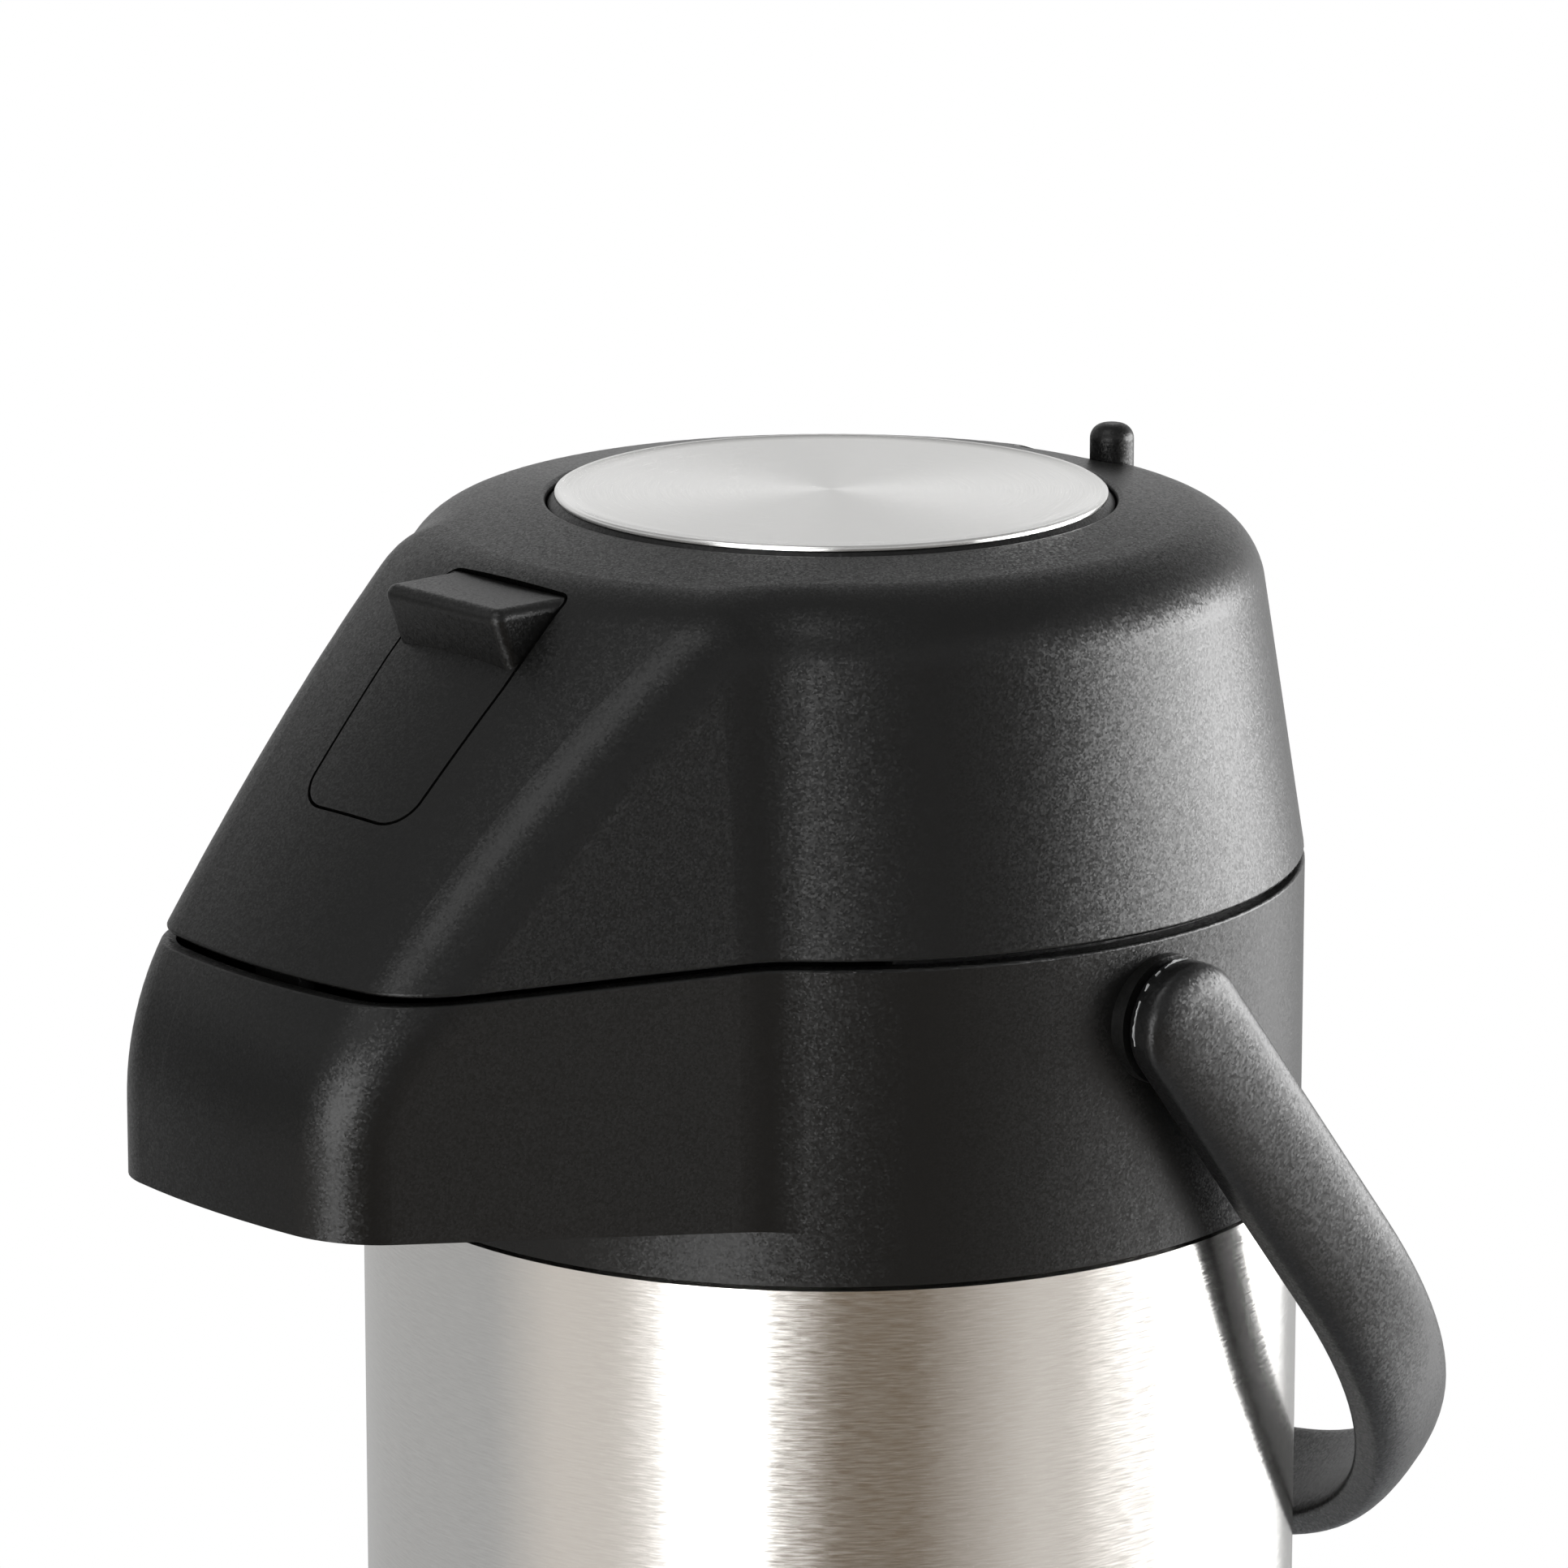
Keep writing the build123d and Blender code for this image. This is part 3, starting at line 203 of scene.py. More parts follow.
def object_place(tree):
    return add_node(tree, "ShaderNodeTexCoord").outputs["Object"]


def split(tree, place):
    """The X, Y and Z of a place, as a node's outputs."""
    return add_node(tree, "ShaderNodeSeparateXYZ", {0: place}).outputs


# %% [markdown]
# ## Studio
#
# The photograph has a plain white ground. The world is white to the camera and to reflections, and
# lights the object at a little under half that.

# %% World
SKY_COLOUR = (0.93, 0.96, 1.0, 1.0)
SKY_STRENGTH = 0.45


def make_world():
    world = bpy.data.worlds.new("studio")
    world.use_nodes = True
    tree = world.node_tree
    tree.nodes.clear()
    rays = add_node(tree, "ShaderNodeLightPath").outputs
    glossy = number_sum(tree, "MAXIMUM", rays["Is Camera Ray"], rays["Is Glossy Ray"])
    seen = number_sum(tree, "MAXIMUM", glossy, rays["Is Transmission Ray"])
    soft = add_node(tree, "ShaderNodeBackground", {"Color": SKY_COLOUR, "Strength": SKY_STRENGTH})
    white = add_node(tree, "ShaderNodeBackground", {"Color": grey(1.0), "Strength": 1.0})
    mix = add_node(tree, "ShaderNodeMixShader", {0: seen, 1: soft.outputs[0], 2: white.outputs[0]})
    out = tree.nodes.new("ShaderNodeOutputWorld")
    tree.links.new(mix.outputs[0], out.inputs["Surface"])
    bpy.context.scene.world = world
    print("world lights at", SKY_STRENGTH, "of white")


make_world()

# %% [markdown]
# A pale floor near the foot keeps the shadow, and fades out to the white round it. From below it is
# clear, so that the foot can be looked at.

# %% Floor
FLOOR_R = 0.5
FLOOR_SIDES = 128
FLOOR_TONE = 0.86
FLOOR_FADE = (0.5 * FLOOR_R, 0.97 * FLOOR_R)


def make_floor():
    nothing_selected()
    bpy.ops.mesh.primitive_circle_add(vertices=FLOOR_SIDES, radius=FLOOR_R, fill_type="NGON",
                                      location=(0, 0, 0))
    floor = bpy.context.object
    floor.name = "floor"
    material, tree, out = new_material("floor")
    faded = soft_step(tree, vector_sum(tree, "LENGTH", object_place(tree)), FLOOR_FADE)
    pale = add_node(tree, "ShaderNodeBsdfDiffuse", {"Color": grey(FLOOR_TONE)})
    clear = add_node(tree, "ShaderNodeBsdfTransparent")
    below = add_node(tree, "ShaderNodeNewGeometry").outputs["Backfacing"]
    gone = number_sum(tree, "MAXIMUM", faded, below)
    mix = add_node(tree, "ShaderNodeMixShader", {0: gone, 1: pale.outputs[0], 2: clear.outputs[0]})
    tree.links.new(mix.outputs[0], out.inputs["Surface"])
    floor.data.materials.append(material)
    print("floor", 2 * FLOOR_R, "m across")


make_floor()

# %% [markdown]
# ## The room in the reflections
#
# Steel shows the room it stands in, and black plastic shows little else. Round the object stands an
# unseen wall that only reflections meet. It is a made-up room of a few plain surfaces: a grey wall, a
# window left of the camera, a dark corner, a pale wall and a second window far to the right. Its lower
# half is what the steel shows. Its upper half is what the lid shows: dimmer walls between brighter
# windows. Each stop of a list is a turn from the camera's direction, in degrees, and a tone. Above the
# windows comes a plain wall that fades into a dim ceiling with one soft skylight.

# %% Tones of the room
RING_R = 2.2
RING_LOW = -1.8
RING_HIGH = 2.0
RING_SIDES = 96
WHITE_LOW = 5.0
WHITE_FAR = 3.0
WHITE_LEFT = 9.0
WHITE_RIGHT = 18.0
GREY_WALL = (0.5, 0.5, 0.5)
PALE_WALL = (0.8, 0.75, 0.7)
BACK_WALL = (0.9, 0.9, 0.9)
DIM_WALL = (0.3, 0.3, 0.3)
DARK_CORNER = (0.2, 0.15, 0.1)
LOW_TONES = [
    (-180, GREY_WALL), (-90, GREY_WALL), (-70, PALE_WALL), (-40, PALE_WALL),
    (-35, grey_tone(WHITE_LOW)), (-20, grey_tone(WHITE_LOW)), (-15, DARK_CORNER), (20, DARK_CORNER),
    (50, PALE_WALL), (90, PALE_WALL), (95, grey_tone(WHITE_FAR)), (130, grey_tone(WHITE_FAR)),
    (150, GREY_WALL), (180, GREY_WALL),
]
HIGH_TONES = [
    (-180, BACK_WALL), (-120, DIM_WALL), (-50, DIM_WALL), (-35, grey_tone(WHITE_LEFT)),
    (-15, grey_tone(WHITE_LEFT)), (0, DIM_WALL), (60, DIM_WALL), (85, grey_tone(WHITE_RIGHT)),
    (120, grey_tone(WHITE_RIGHT)), (135, BACK_WALL), (180, BACK_WALL),
]
HALVES_MEET = (-0.15, 0.35)
WINDOW_TOP = (0.65, 1.05)
WALL_TOP = (1.1, RING_HIGH)
UPPER_WALL = 0.78
CEILING = 0.4
SKYLIGHT = 3.6
SKYLIGHT_TURN = -40
SKYLIGHT_OUT = 1.25
SKYLIGHT_R = 1.0
SKYLIGHT_CORE = 0.3
print(len(LOW_TONES), "tones in the lower half of the room,", len(HIGH_TONES), "in the upper")


# %% [markdown]
# The wall is an open cylinder that glows. A colour ramp holds no more than white, so its stops are parts
# of the brightest window, and the glow's strength gives that back.

# %% The unseen wall
def tones_of(tree, turn, tones):
    """A ramp over the turn round the object; its colours are parts of the brightest window."""
    node = add_node(tree, "ShaderNodeValToRGB", {"Fac": turn})
    ramp = node.color_ramp
    while len(ramp.elements) > 1:
        ramp.elements.remove(ramp.elements[-1])
    stops = [((degs + 180) / 360, (*[v / WHITE_RIGHT for v in colour], 1.0)) for degs, colour in tones]
    ramp.elements[0].position, ramp.elements[0].color = stops[0]
    for place, colour in stops[1:]:
        ramp.elements.new(place).color = colour
    return node.outputs["Color"]


def only_reflected(piece, material):
    """Gives a stage piece its glow, and hides it from all rays but glossy ones."""
    material.cycles.emission_sampling = "NONE"
    piece.data.materials.append(material)
    for kind in ("camera", "diffuse", "shadow", "transmission", "volume_scatter"):
        setattr(piece, "visible_" + kind, False)


def make_ring():
    nothing_selected()
    middle = (RING_LOW + RING_HIGH) / 2
    bpy.ops.mesh.primitive_cylinder_add(
        vertices=RING_SIDES, radius=RING_R, depth=RING_HIGH - RING_LOW, end_fill_type="NOTHING",
        location=(0, 0, middle), rotation=(0, 0, AZIMUTH - pi / 2))
    ring = bpy.context.object
    ring.name = "room_ring"
    material, tree, out = new_material("room_tones")
    parts = split(tree, object_place(tree))
    angle = number_sum(tree, "ARCTAN2", parts["Y"], parts["X"])
    turn = new_range(tree, angle, (-pi, pi))
    colour = tones_of(tree, turn, LOW_TONES)
    above = (
        (HALVES_MEET, tones_of(tree, turn, HIGH_TONES)),
        (WINDOW_TOP, grey(UPPER_WALL / WHITE_RIGHT)),
        (WALL_TOP, grey(CEILING / WHITE_RIGHT)),
    )
    for (low, high), next_colour in above:
        factor = soft_step(tree, parts["Z"], (low - middle, high - middle))
        colour = mixed_colour(tree, factor, colour, next_colour)
    glow = add_node(tree, "ShaderNodeEmission", {"Color": colour, "Strength": WHITE_RIGHT})
    tree.links.new(glow.outputs[0], out.inputs["Surface"])
    only_reflected(ring, material)


def make_ceiling():
    """The dim ceiling that the tops of lid and hood show."""
    nothing_selected()
    bpy.ops.mesh.primitive_circle_add(vertices=RING_SIDES, radius=RING_R, fill_type="NGON",
                                      location=(0, 0, RING_HIGH))
    ceiling = bpy.context.object
    ceiling.name = "room_ceiling"
    material, tree, out = new_material("ceiling_tone")
    toward = AZIMUTH + radians(SKYLIGHT_TURN)
    light_at = (SKYLIGHT_OUT * sin(toward), -SKYLIGHT_OUT * cos(toward), 0.0)
    away = vector_sum(tree, "DISTANCE", object_place(tree), light_at)
    level = soft_step(tree, away, (SKYLIGHT_CORE * SKYLIGHT_R, SKYLIGHT_R), (SKYLIGHT, CEILING))
    glow = add_node(tree, "ShaderNodeEmission", {"Color": grey(1.0), "Strength": level})
    tree.links.new(glow.outputs[0], out.inputs["Surface"])
    only_reflected(ceiling, material)


make_ring()
make_ceiling()
print("room", 2 * RING_R, "m across, from", RING_LOW, "to", RING_HIGH, "m")

# %% [markdown]
# ## Lamps
#
# Three soft lamps at a plain level light the colours: one left of the camera, one far to the right and a
# wide one overhead. They keep the object's shadow on the floor, and reflections pass them by.

# %% Lamps
LAMPS = (
    {"name": "lamp_left", "turn": -28, "height": 0.75, "distance": 1.3, "size": (0.5, 0.6), "power": 4.0,
     "colour": (1.0, 0.99, 0.97)},
    {"name": "lamp_right", "turn": 105, "height": 0.60, "distance": 1.3, "size": (0.5, 0.9), "power": 5.0,
     "colour": (0.97, 0.98, 1.0)},
    {"name": "lamp_top", "turn": -60, "height": 1.7, "distance": 0.25, "size": (1.1, 1.1), "power": 4.0,
     "colour": (1.0, 1.0, 1.0)},
)


def soft_lamp(name, turn, height, distance, size, power, colour):
    """An area lamp that faces the lid, placed by its turn from the camera's direction."""
    angle = AZIMUTH + radians(turn)
    place = Vector((sin(angle) * distance, -cos(angle) * distance, height))
    bpy.ops.object.light_add(type="AREA", location=place)
    lamp = bpy.context.object
    lamp.name = name
    lamp.data.shape = "RECTANGLE"
    lamp.data.size, lamp.data.size_y = size
    lamp.data.energy = power
    lamp.data.color = colour
    lamp.visible_glossy = False
    lamp.rotation_euler = (Vector((0, 0, SEAM_Z)) - place).to_track_quat("-Z", "Y").to_euler()


for lamp in LAMPS:
    soft_lamp(**lamp)
print(len(LAMPS), "lamps,", sum(lamp["power"] for lamp in LAMPS), "watts in all")

# %% [markdown]
# ## Black moulded plastic
#
# Lid and collar have a fine spark-eroded grain: tiny pits that break up each highlight into specks. Cells
# of a Voronoi texture make it, each of which leans the surface a little its own way, and a slow noise
# makes the gloss uneven. The same group serves every black piece, with its own scale and depth.

# %% Grain group
NUMBER, COLOUR, VECTOR = "NodeSocketFloat", "NodeSocketColor", "NodeSocketVector"
GLOSS_PATCHES = 9.0
GLOSS_SWING = (-0.03, 0.03)
NOISE_MIDDLE = (0.3, 0.7)
PIT_SHADE = (1.3, 0.6)
PIT_EDGE = 0.7


def group_with(name, inputs, outputs):
    """An empty node group with named sockets, and its two end nodes."""
    group = bpy.data.node_groups.new(name, "ShaderNodeTree")
    for label, kind, value in inputs:
        socket = group.interface.new_socket(label, in_out="INPUT", socket_type=kind)
        socket.default_value = value
    for label, kind in outputs:
        group.interface.new_socket(label, in_out="OUTPUT", socket_type=kind)
    return group, group.nodes.new("NodeGroupInput").outputs, group.nodes.new("NodeGroupOutput").inputs


def put_out(group, out, values):
    for label, value in values.items():
        group.links.new(value, out[label])


def make_grain_group():
    group, into, out = group_with(
        "moulded_grain",
        (("Scale", NUMBER, 2200.0), ("Tilt", NUMBER, 0.3), ("Gloss", NUMBER, 0.35),
         ("Tint", COLOUR, grey(0.02))),
        (("Color", COLOUR), ("Roughness", NUMBER), ("Normal", VECTOR)))
    place = object_place(group)
    pits = add_node(group, "ShaderNodeTexVoronoi", {"Vector": place, "Scale": into["Scale"]}).outputs
    centred = vector_sum(group, "SUBTRACT", pits["Color"], (0.5, 0.5, 0.5))
    lean = vector_sum(group, "SCALE", centred, scale=into["Tilt"])
    surface = add_node(group, "ShaderNodeNewGeometry").outputs["Normal"]
    tilted = vector_sum(group, "ADD", surface, lean)
    flow = noise(group, place, GLOSS_PATCHES, Detail=3.0)
    uneven = new_range(group, flow, NOISE_MIDDLE, GLOSS_SWING)
    shade = new_range(group, pits["Distance"], (0.0, PIT_EDGE), PIT_SHADE)
    put_out(group, out, {
        "Color": vector_sum(group, "SCALE", into["Tint"], scale=shade),
        "Roughness": number_sum(group, "ADD", uneven, into["Gloss"]),
        "Normal": vector_sum(group, "NORMALIZE", tilted)})
    return group


grain_group = make_grain_group()
print("grain group has", len(grain_group.nodes), "nodes")


# %% [markdown]
# Three plastics come from the group. The head's is almost black with the finest grain, the handle's is a
# little coarser, and the inner mouldings are smoother and catch more light.

# %% Plastics
def grained_plastic(name, tint, scale, gloss, tilt, specular):
    material, tree, out = new_material(name)
    grain = add_node(tree, "ShaderNodeGroup", node_tree=grain_group)
    for label, value in (("Scale", scale), ("Tilt", tilt), ("Gloss", gloss), ("Tint", tint)):
        grain.inputs[label].default_value = value
    shell = add_node(tree, "ShaderNodeBsdfPrincipled", {
        "Base Color": grain.outputs["Color"], "Roughness": grain.outputs["Roughness"],
        "Normal": grain.outputs["Normal"], "IOR": 1.5, "Specular IOR Level": specular})
    tree.links.new(shell.outputs[0], out.inputs["Surface"])
    print(name, "has grains of", round(1000 / scale, 2), "mm")
    return material


black_plastic = grained_plastic(
    "black_plastic", tint=(0.0045, 0.0045, 0.0042, 1.0), scale=3000.0, gloss=0.37, tilt=0.16, specular=0.28)
handle_plastic = grained_plastic(
    "handle_plastic", tint=(0.006, 0.006, 0.006, 1.0), scale=2400.0, gloss=0.38, tilt=0.17, specular=0.3)
inner_plastic = grained_plastic(
    "inner_plastic", tint=(0.02, 0.02, 0.02, 1.0), scale=1500.0, gloss=0.34, tilt=0.1, specular=0.4)

# %% [markdown]
# ## Brushed steel
#
# The casing was brushed while it turned, so its scratches run round it. They spread each reflection up
# and down and leave it sharp from side to side, which is what stretches the room into upright bands. The
# button was brushed in circles about its own middle, so its reflections fan out from there. One function
# does both: its noise is long round the axis and fine across it.

# %% Steel materials
SCRATCH_DEEP = 0.00002
ROUGHER, SMOOTHER = 0.07, 0.05
SCRATCH_SHADE = (0.90, 1.07)
OTHER_PLACE = (31.0, 17.0, 0.0)
BRUSHED_ALONG = 0.25


def brushed_steel(name, tint, roughness, stretch, scratch_scale, strength, anisotropy, waver):
    """Steel scratched in circles about the Z axis; stretch is the scratches' scale along them."""
    material, tree, out = new_material(name)
    parts = split(tree, object_place(tree))
    flat = add_node(tree, "ShaderNodeCombineXYZ", {"X": parts["X"], "Y": parts["Y"]}).outputs[0]
    angle = number_sum(tree, "ARCTAN2", parts["Y"], parts["X"])
    across = number_sum(tree, "ADD", vector_sum(tree, "LENGTH", flat), parts["Z"])
    where = add_node(tree, "ShaderNodeCombineXYZ", {
        "X": number_sum(tree, "MULTIPLY", across, scratch_scale),
        "Y": number_sum(tree, "MULTIPLY", angle, stretch)}).outputs[0]
    fine = noise(tree, where, 1.0, Detail=4.0, Roughness=0.75)
    rough = new_range(tree, fine, NOISE_MIDDLE, (roughness - SMOOTHER, roughness + ROUGHER))
    shade = new_range(tree, fine, NOISE_MIDDLE, SCRATCH_SHADE)
    bump = add_node(tree, "ShaderNodeBump", {"Strength": strength, "Distance": SCRATCH_DEEP, "Height": fine})
    tangent = add_node(tree, "ShaderNodeTangent", direction_type="RADIAL", axis="Z").outputs[0]
    apart = vector_sum(tree, "ADD", where, OTHER_PLACE)
    bend = noise(tree, apart, 1.0, Detail=3.0, Roughness=0.7)
    aside = vector_sum(tree, "SCALE", tangent, scale=new_range(tree, bend, new=(-waver, waver)))
    tilted = vector_sum(tree, "ADD", bump.outputs["Normal"], aside)
    metal = add_node(tree, "ShaderNodeBsdfPrincipled", {
        "Base Color": vector_sum(tree, "SCALE", tint, scale=shade), "Metallic": 1.0, "Roughness": rough,
        "Anisotropic": anisotropy, "Anisotropic Rotation": BRUSHED_ALONG, "Tangent": tangent,
        "Normal": vector_sum(tree, "NORMALIZE", tilted)})
    tree.links.new(metal.outputs[0], out.inputs["Surface"])
    print(name, "has", round(1000 / scratch_scale, 2), "mm from scratch to scratch")
    return material


casing_steel = brushed_steel(
    "casing_steel", tint=(0.74, 0.73, 0.71), roughness=0.2, stretch=16.0, scratch_scale=3000.0,
    strength=0.3, anisotropy=0.9, waver=0.04)
button_steel = brushed_steel(
    "button_steel", tint=(0.79, 0.785, 0.77), roughness=0.22, stretch=3.0, scratch_scale=5000.0,
    strength=0.03, anisotropy=0.8, waver=0.004)
flask_steel = brushed_steel(
    "flask_steel", tint=(0.60, 0.60, 0.59), roughness=0.35, stretch=4.0, scratch_scale=1500.0,
    strength=0.2, anisotropy=0.3, waver=0.02)

# %% [markdown]
# ## Finishes of the inner pieces
#
# Most of these show only with the lid open or the pot turned over, but each has its own finish: bright
# turned steel for pins, screws and the spring, milky silicone for seals and the air pump, a clear tube,
# and dull rubber under the foot. One group makes the fine unevenness that all of them have.

# %% Group for small unevenness
UNEVEN_SHADE = (0.92, 1.06)


def make_uneven_group():
    group, into, out = group_with(
        "small_unevenness",
        (("Scale", NUMBER, 600.0), ("Gloss", NUMBER, 0.4), ("Spread", NUMBER, 0.06),
         ("Tint", COLOUR, grey(0.5))),
        (("Color", COLOUR), ("Roughness", NUMBER), ("Height", NUMBER)))
    cloud = noise(group, object_place(group), into["Scale"], Detail=4.0, Roughness=0.6)
    swing = new_range(group, cloud, NOISE_MIDDLE, (-1.0, 1.0))
    part = number_sum(group, "MULTIPLY", swing, into["Spread"])
    shade = new_range(group, cloud, NOISE_MIDDLE, UNEVEN_SHADE)
    put_out(group, out, {
        "Color": vector_sum(group, "SCALE", into["Tint"], scale=shade),
        "Roughness": number_sum(group, "ADD", part, into["Gloss"]),
        "Height": cloud})
    return group


uneven_group = make_uneven_group()
print("unevenness group has", len(uneven_group.nodes), "nodes")


# %% [markdown]
# The group's values change over the surface. What is the same all over, such as metal or how clear the
# tube is, is set on the shader itself.

# %% Steel pins, silicone, clear tube and rubber
def uneven_finish(name, tint, scale, gloss, spread, depth, **fixed):
    """A finish from the group, with the values of its shader that are the same all over."""
    material, tree, out = new_material(name)
    part = add_node(tree, "ShaderNodeGroup", node_tree=uneven_group)
    for label, value in (("Scale", scale), ("Gloss", gloss), ("Spread", spread), ("Tint", (*tint, 1.0))):
        part.inputs[label].default_value = value
    bump = add_node(tree, "ShaderNodeBump", {
        "Strength": 1.0, "Distance": depth, "Height": part.outputs["Height"]})
    shell = add_node(tree, "ShaderNodeBsdfPrincipled", {
        "Base Color": part.outputs["Color"], "Roughness": part.outputs["Roughness"],
        "Normal": bump.outputs["Normal"]})
    for label, value in fixed.items():
        shell.inputs[label.replace("_", " ")].default_value = value
    tree.links.new(shell.outputs[0], out.inputs["Surface"])
    print(name, "is uneven by", depth * 1000, "mm")
    return material


fastener_steel = uneven_finish(
    "fastener_steel", (0.62, 0.62, 0.61), scale=900.0, gloss=0.25, spread=0.05, depth=0.000004, Metallic=1.0)
silicone = uneven_finish(
    "silicone", (0.62, 0.62, 0.60), scale=500.0, gloss=0.5, spread=0.06, depth=0.00002, Coat_Weight=0.05)
clear_tube = uneven_finish(
    "clear_tube", (0.86, 0.87, 0.85), scale=300.0, gloss=0.12, spread=0.03, depth=0.000004,
    Transmission_Weight=0.85)
foot_rubber = uneven_finish(
    "foot_rubber", (0.035, 0.035, 0.035), scale=1400.0, gloss=0.75, spread=0.08, depth=0.00006)
flash_plastic = uneven_finish(
    "flash_plastic", (0.55, 0.55, 0.54), scale=2500.0, gloss=0.5, spread=0.1, depth=0.00003)

# %% [markdown]
# ## Mould line on the collar
#
# The collar keeps a trace of its mould: a faint pale line down the nose's front face, a little to one side
# of the middle. It is part of the collar's colour only, so the collar has its own copy of the finish.

# %% Collar plastic with the mould line
LINE_X = -0.0136
LINE_HALF = 0.00012
LINE_FRONT = -0.112
LINE_TONE = 0.035
LINE_BREAKS = 220.0
LINE_FAINT = (0.4, 0.6)


def with_mould_line(plain, name):
    material = plain.copy()
    material.name = name
    tree = material.node_tree
    shell = next(n for n in tree.nodes if n.type == "BSDF_PRINCIPLED")
    place = object_place(tree)
    parts = split(tree, place)
    gap = number_sum(tree, "ABSOLUTE", number_sum(tree, "SUBTRACT", parts["X"], LINE_X))
    near = new_range(tree, gap, (0.0, LINE_HALF), (1.0, 0.0))
    front = number_sum(tree, "LESS_THAN", parts["Y"], LINE_FRONT)
    some = new_range(tree, noise(tree, place, LINE_BREAKS, Detail=2.0), LINE_FAINT)
    share = number_sum(tree, "MULTIPLY", number_sum(tree, "MULTIPLY", near, front), some)
    plain_colour = shell.inputs["Base Color"].links[0].from_socket
    lined = mixed_colour(tree, share, plain_colour, grey(LINE_TONE))
    tree.links.new(lined, shell.inputs["Base Color"])
    print(name, "has a line", round(2000 * LINE_HALF, 2), "mm wide")
    return material


collar_plastic = with_mould_line(black_plastic, "collar_plastic")

# %% [markdown]
# ## Dressing the construction
#
# The construction's record names a finish for each of its pieces. A piece keeps its shape and only
# changes its material, and the collar takes the copy with the line.

# %% Give every node its finish
def dress(node, material):
    mesh = frame["nodes"][node].data
    mesh.materials.clear()
    mesh.materials.append(material)


FINISHES = {
    "brushed_steel": casing_steel, "button_steel": button_steel, "flask_steel": flask_steel,
    "fastener_steel": fastener_steel, "black_plastic": black_plastic, "handle_plastic": handle_plastic,
    "inner_plastic": inner_plastic, "clear_tube": clear_tube, "silicone": silicone,
    "foot_rubber": foot_rubber,
}
for part in frame["record"]["subparts"]:
    dress(part["node"], FINISHES[part["material_slot"]])
dress("collar", collar_plastic)
print(len(frame["nodes"]), "nodes dressed in", len(FINISHES) + 1, "finishes")

# %% [markdown]
# ## Button disc
#
# The steel disc of the button is pressed from thin sheet, and its edge is turned down into a narrow bead
# that catches the light. A circle becomes a low cylinder by one extrude, a bevel rounds its edges, and
# two small insets make the groove inside the bead. It lies on the button's moulding, where the plain disc
# of the construction lies. Two helpers come first that all new pieces use.

# %% Helpers for new pieces
MERGE_WITHIN = 1e-7


def extrude_by(value):
    """Extrudes what is selected by a vector."""
    bpy.ops.mesh.extrude_region_move(TRANSFORM_OT_translate={"value": value})


def finish_piece(piece, name, material, smooth_deg=40):
    """Puts the place into the mesh of a piece in edit mode, and smooths and dresses it."""
    bpy.ops.mesh.select_all(action="SELECT")
    bpy.ops.mesh.remove_doubles(threshold=MERGE_WITHIN)
    bpy.ops.mesh.normals_make_consistent(inside=False)
    bpy.ops.object.mode_set(mode="OBJECT")
    bpy.ops.object.transform_apply(location=True, rotation=True, scale=True)
    bpy.ops.object.shade_smooth_by_angle(angle=radians(smooth_deg))
    piece.name = name
    piece.data.materials.clear()
    piece.data.materials.append(material)
    print(name, "has", len(piece.data.polygons), "faces")


# %% Button disc
DISC_SMALLER = 0.0006
DISC_THICK = 0.0008
DISC_SIDES = 256
EDGE_ROUND = DISC_THICK * 0.6
EDGE_STEPS = 5
BEAD_WIDE = 0.0011
BEAD_LOW = 0.00012
RIM_BAND = 0.003


def make_button_disc():
    nothing_selected()
    radius = (button_high.x - button_low.x) / 2 - DISC_SMALLER
    bpy.ops.mesh.primitive_circle_add(vertices=DISC_SIDES, radius=radius, fill_type="NGON",
                                      location=(0, 0, button_low.z))
    disc = bpy.context.object
    bpy.ops.object.mode_set(mode="EDIT")
    extrude_by((0, 0, DISC_THICK))
    bpy.ops.mesh.bevel(offset=EDGE_ROUND, segments=EDGE_STEPS, affect="EDGES")
    bpy.ops.mesh.select_all(action="DESELECT")
    mesh = bmesh.from_edit_mesh(disc.data)
    for face in mesh.faces:
        face.select = len(face.verts) == DISC_SIDES and face.calc_center_median().z > DISC_THICK / 2
    bmesh.update_edit_mesh(disc.data)
    bpy.ops.mesh.inset(thickness=BEAD_WIDE - EDGE_ROUND)
    bpy.ops.mesh.inset(thickness=BEAD_LOW * 2)
    bpy.ops.transform.translate(value=(0, 0, -BEAD_LOW))
    bpy.ops.mesh.inset(thickness=RIM_BAND)
    bpy.ops.mesh.poke()
    finish_piece(disc, "button_disc", button_steel, 30)
    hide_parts("button_plate")
    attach(disc, "button")


make_button_disc()

# %% [markdown]
# ## Air pump
#
# Under the button stand a silicone bellows and its return spring, and in the pot both get shorter as the
# button goes down. Each stands for its piece of the construction, rides on the lid and has a mesh of its
# own.


def squash_with_pump(piece, node):
    """Hides a piece's node, hangs the piece on the lid and gives it a mesh of its own."""
    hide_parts(node)
    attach(piece, "lid")
    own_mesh(piece)


# %% [markdown]
# The bellows is moulded in one piece, with soft rounded folds between two flanges. A circle of as many
# points as its wall's outline needs is laid out as that closed outline, and spun once round the axis.

# %% Bellows
FOLDS = 7
FOLD_DEEP = 0.0078
SILICONE_WALL = 0.0014
FLANGE = 0.002
FLANGE_EDGE = FLANGE * 0.8
POINTS_A_FOLD = 10
SPIN_STEPS = 96


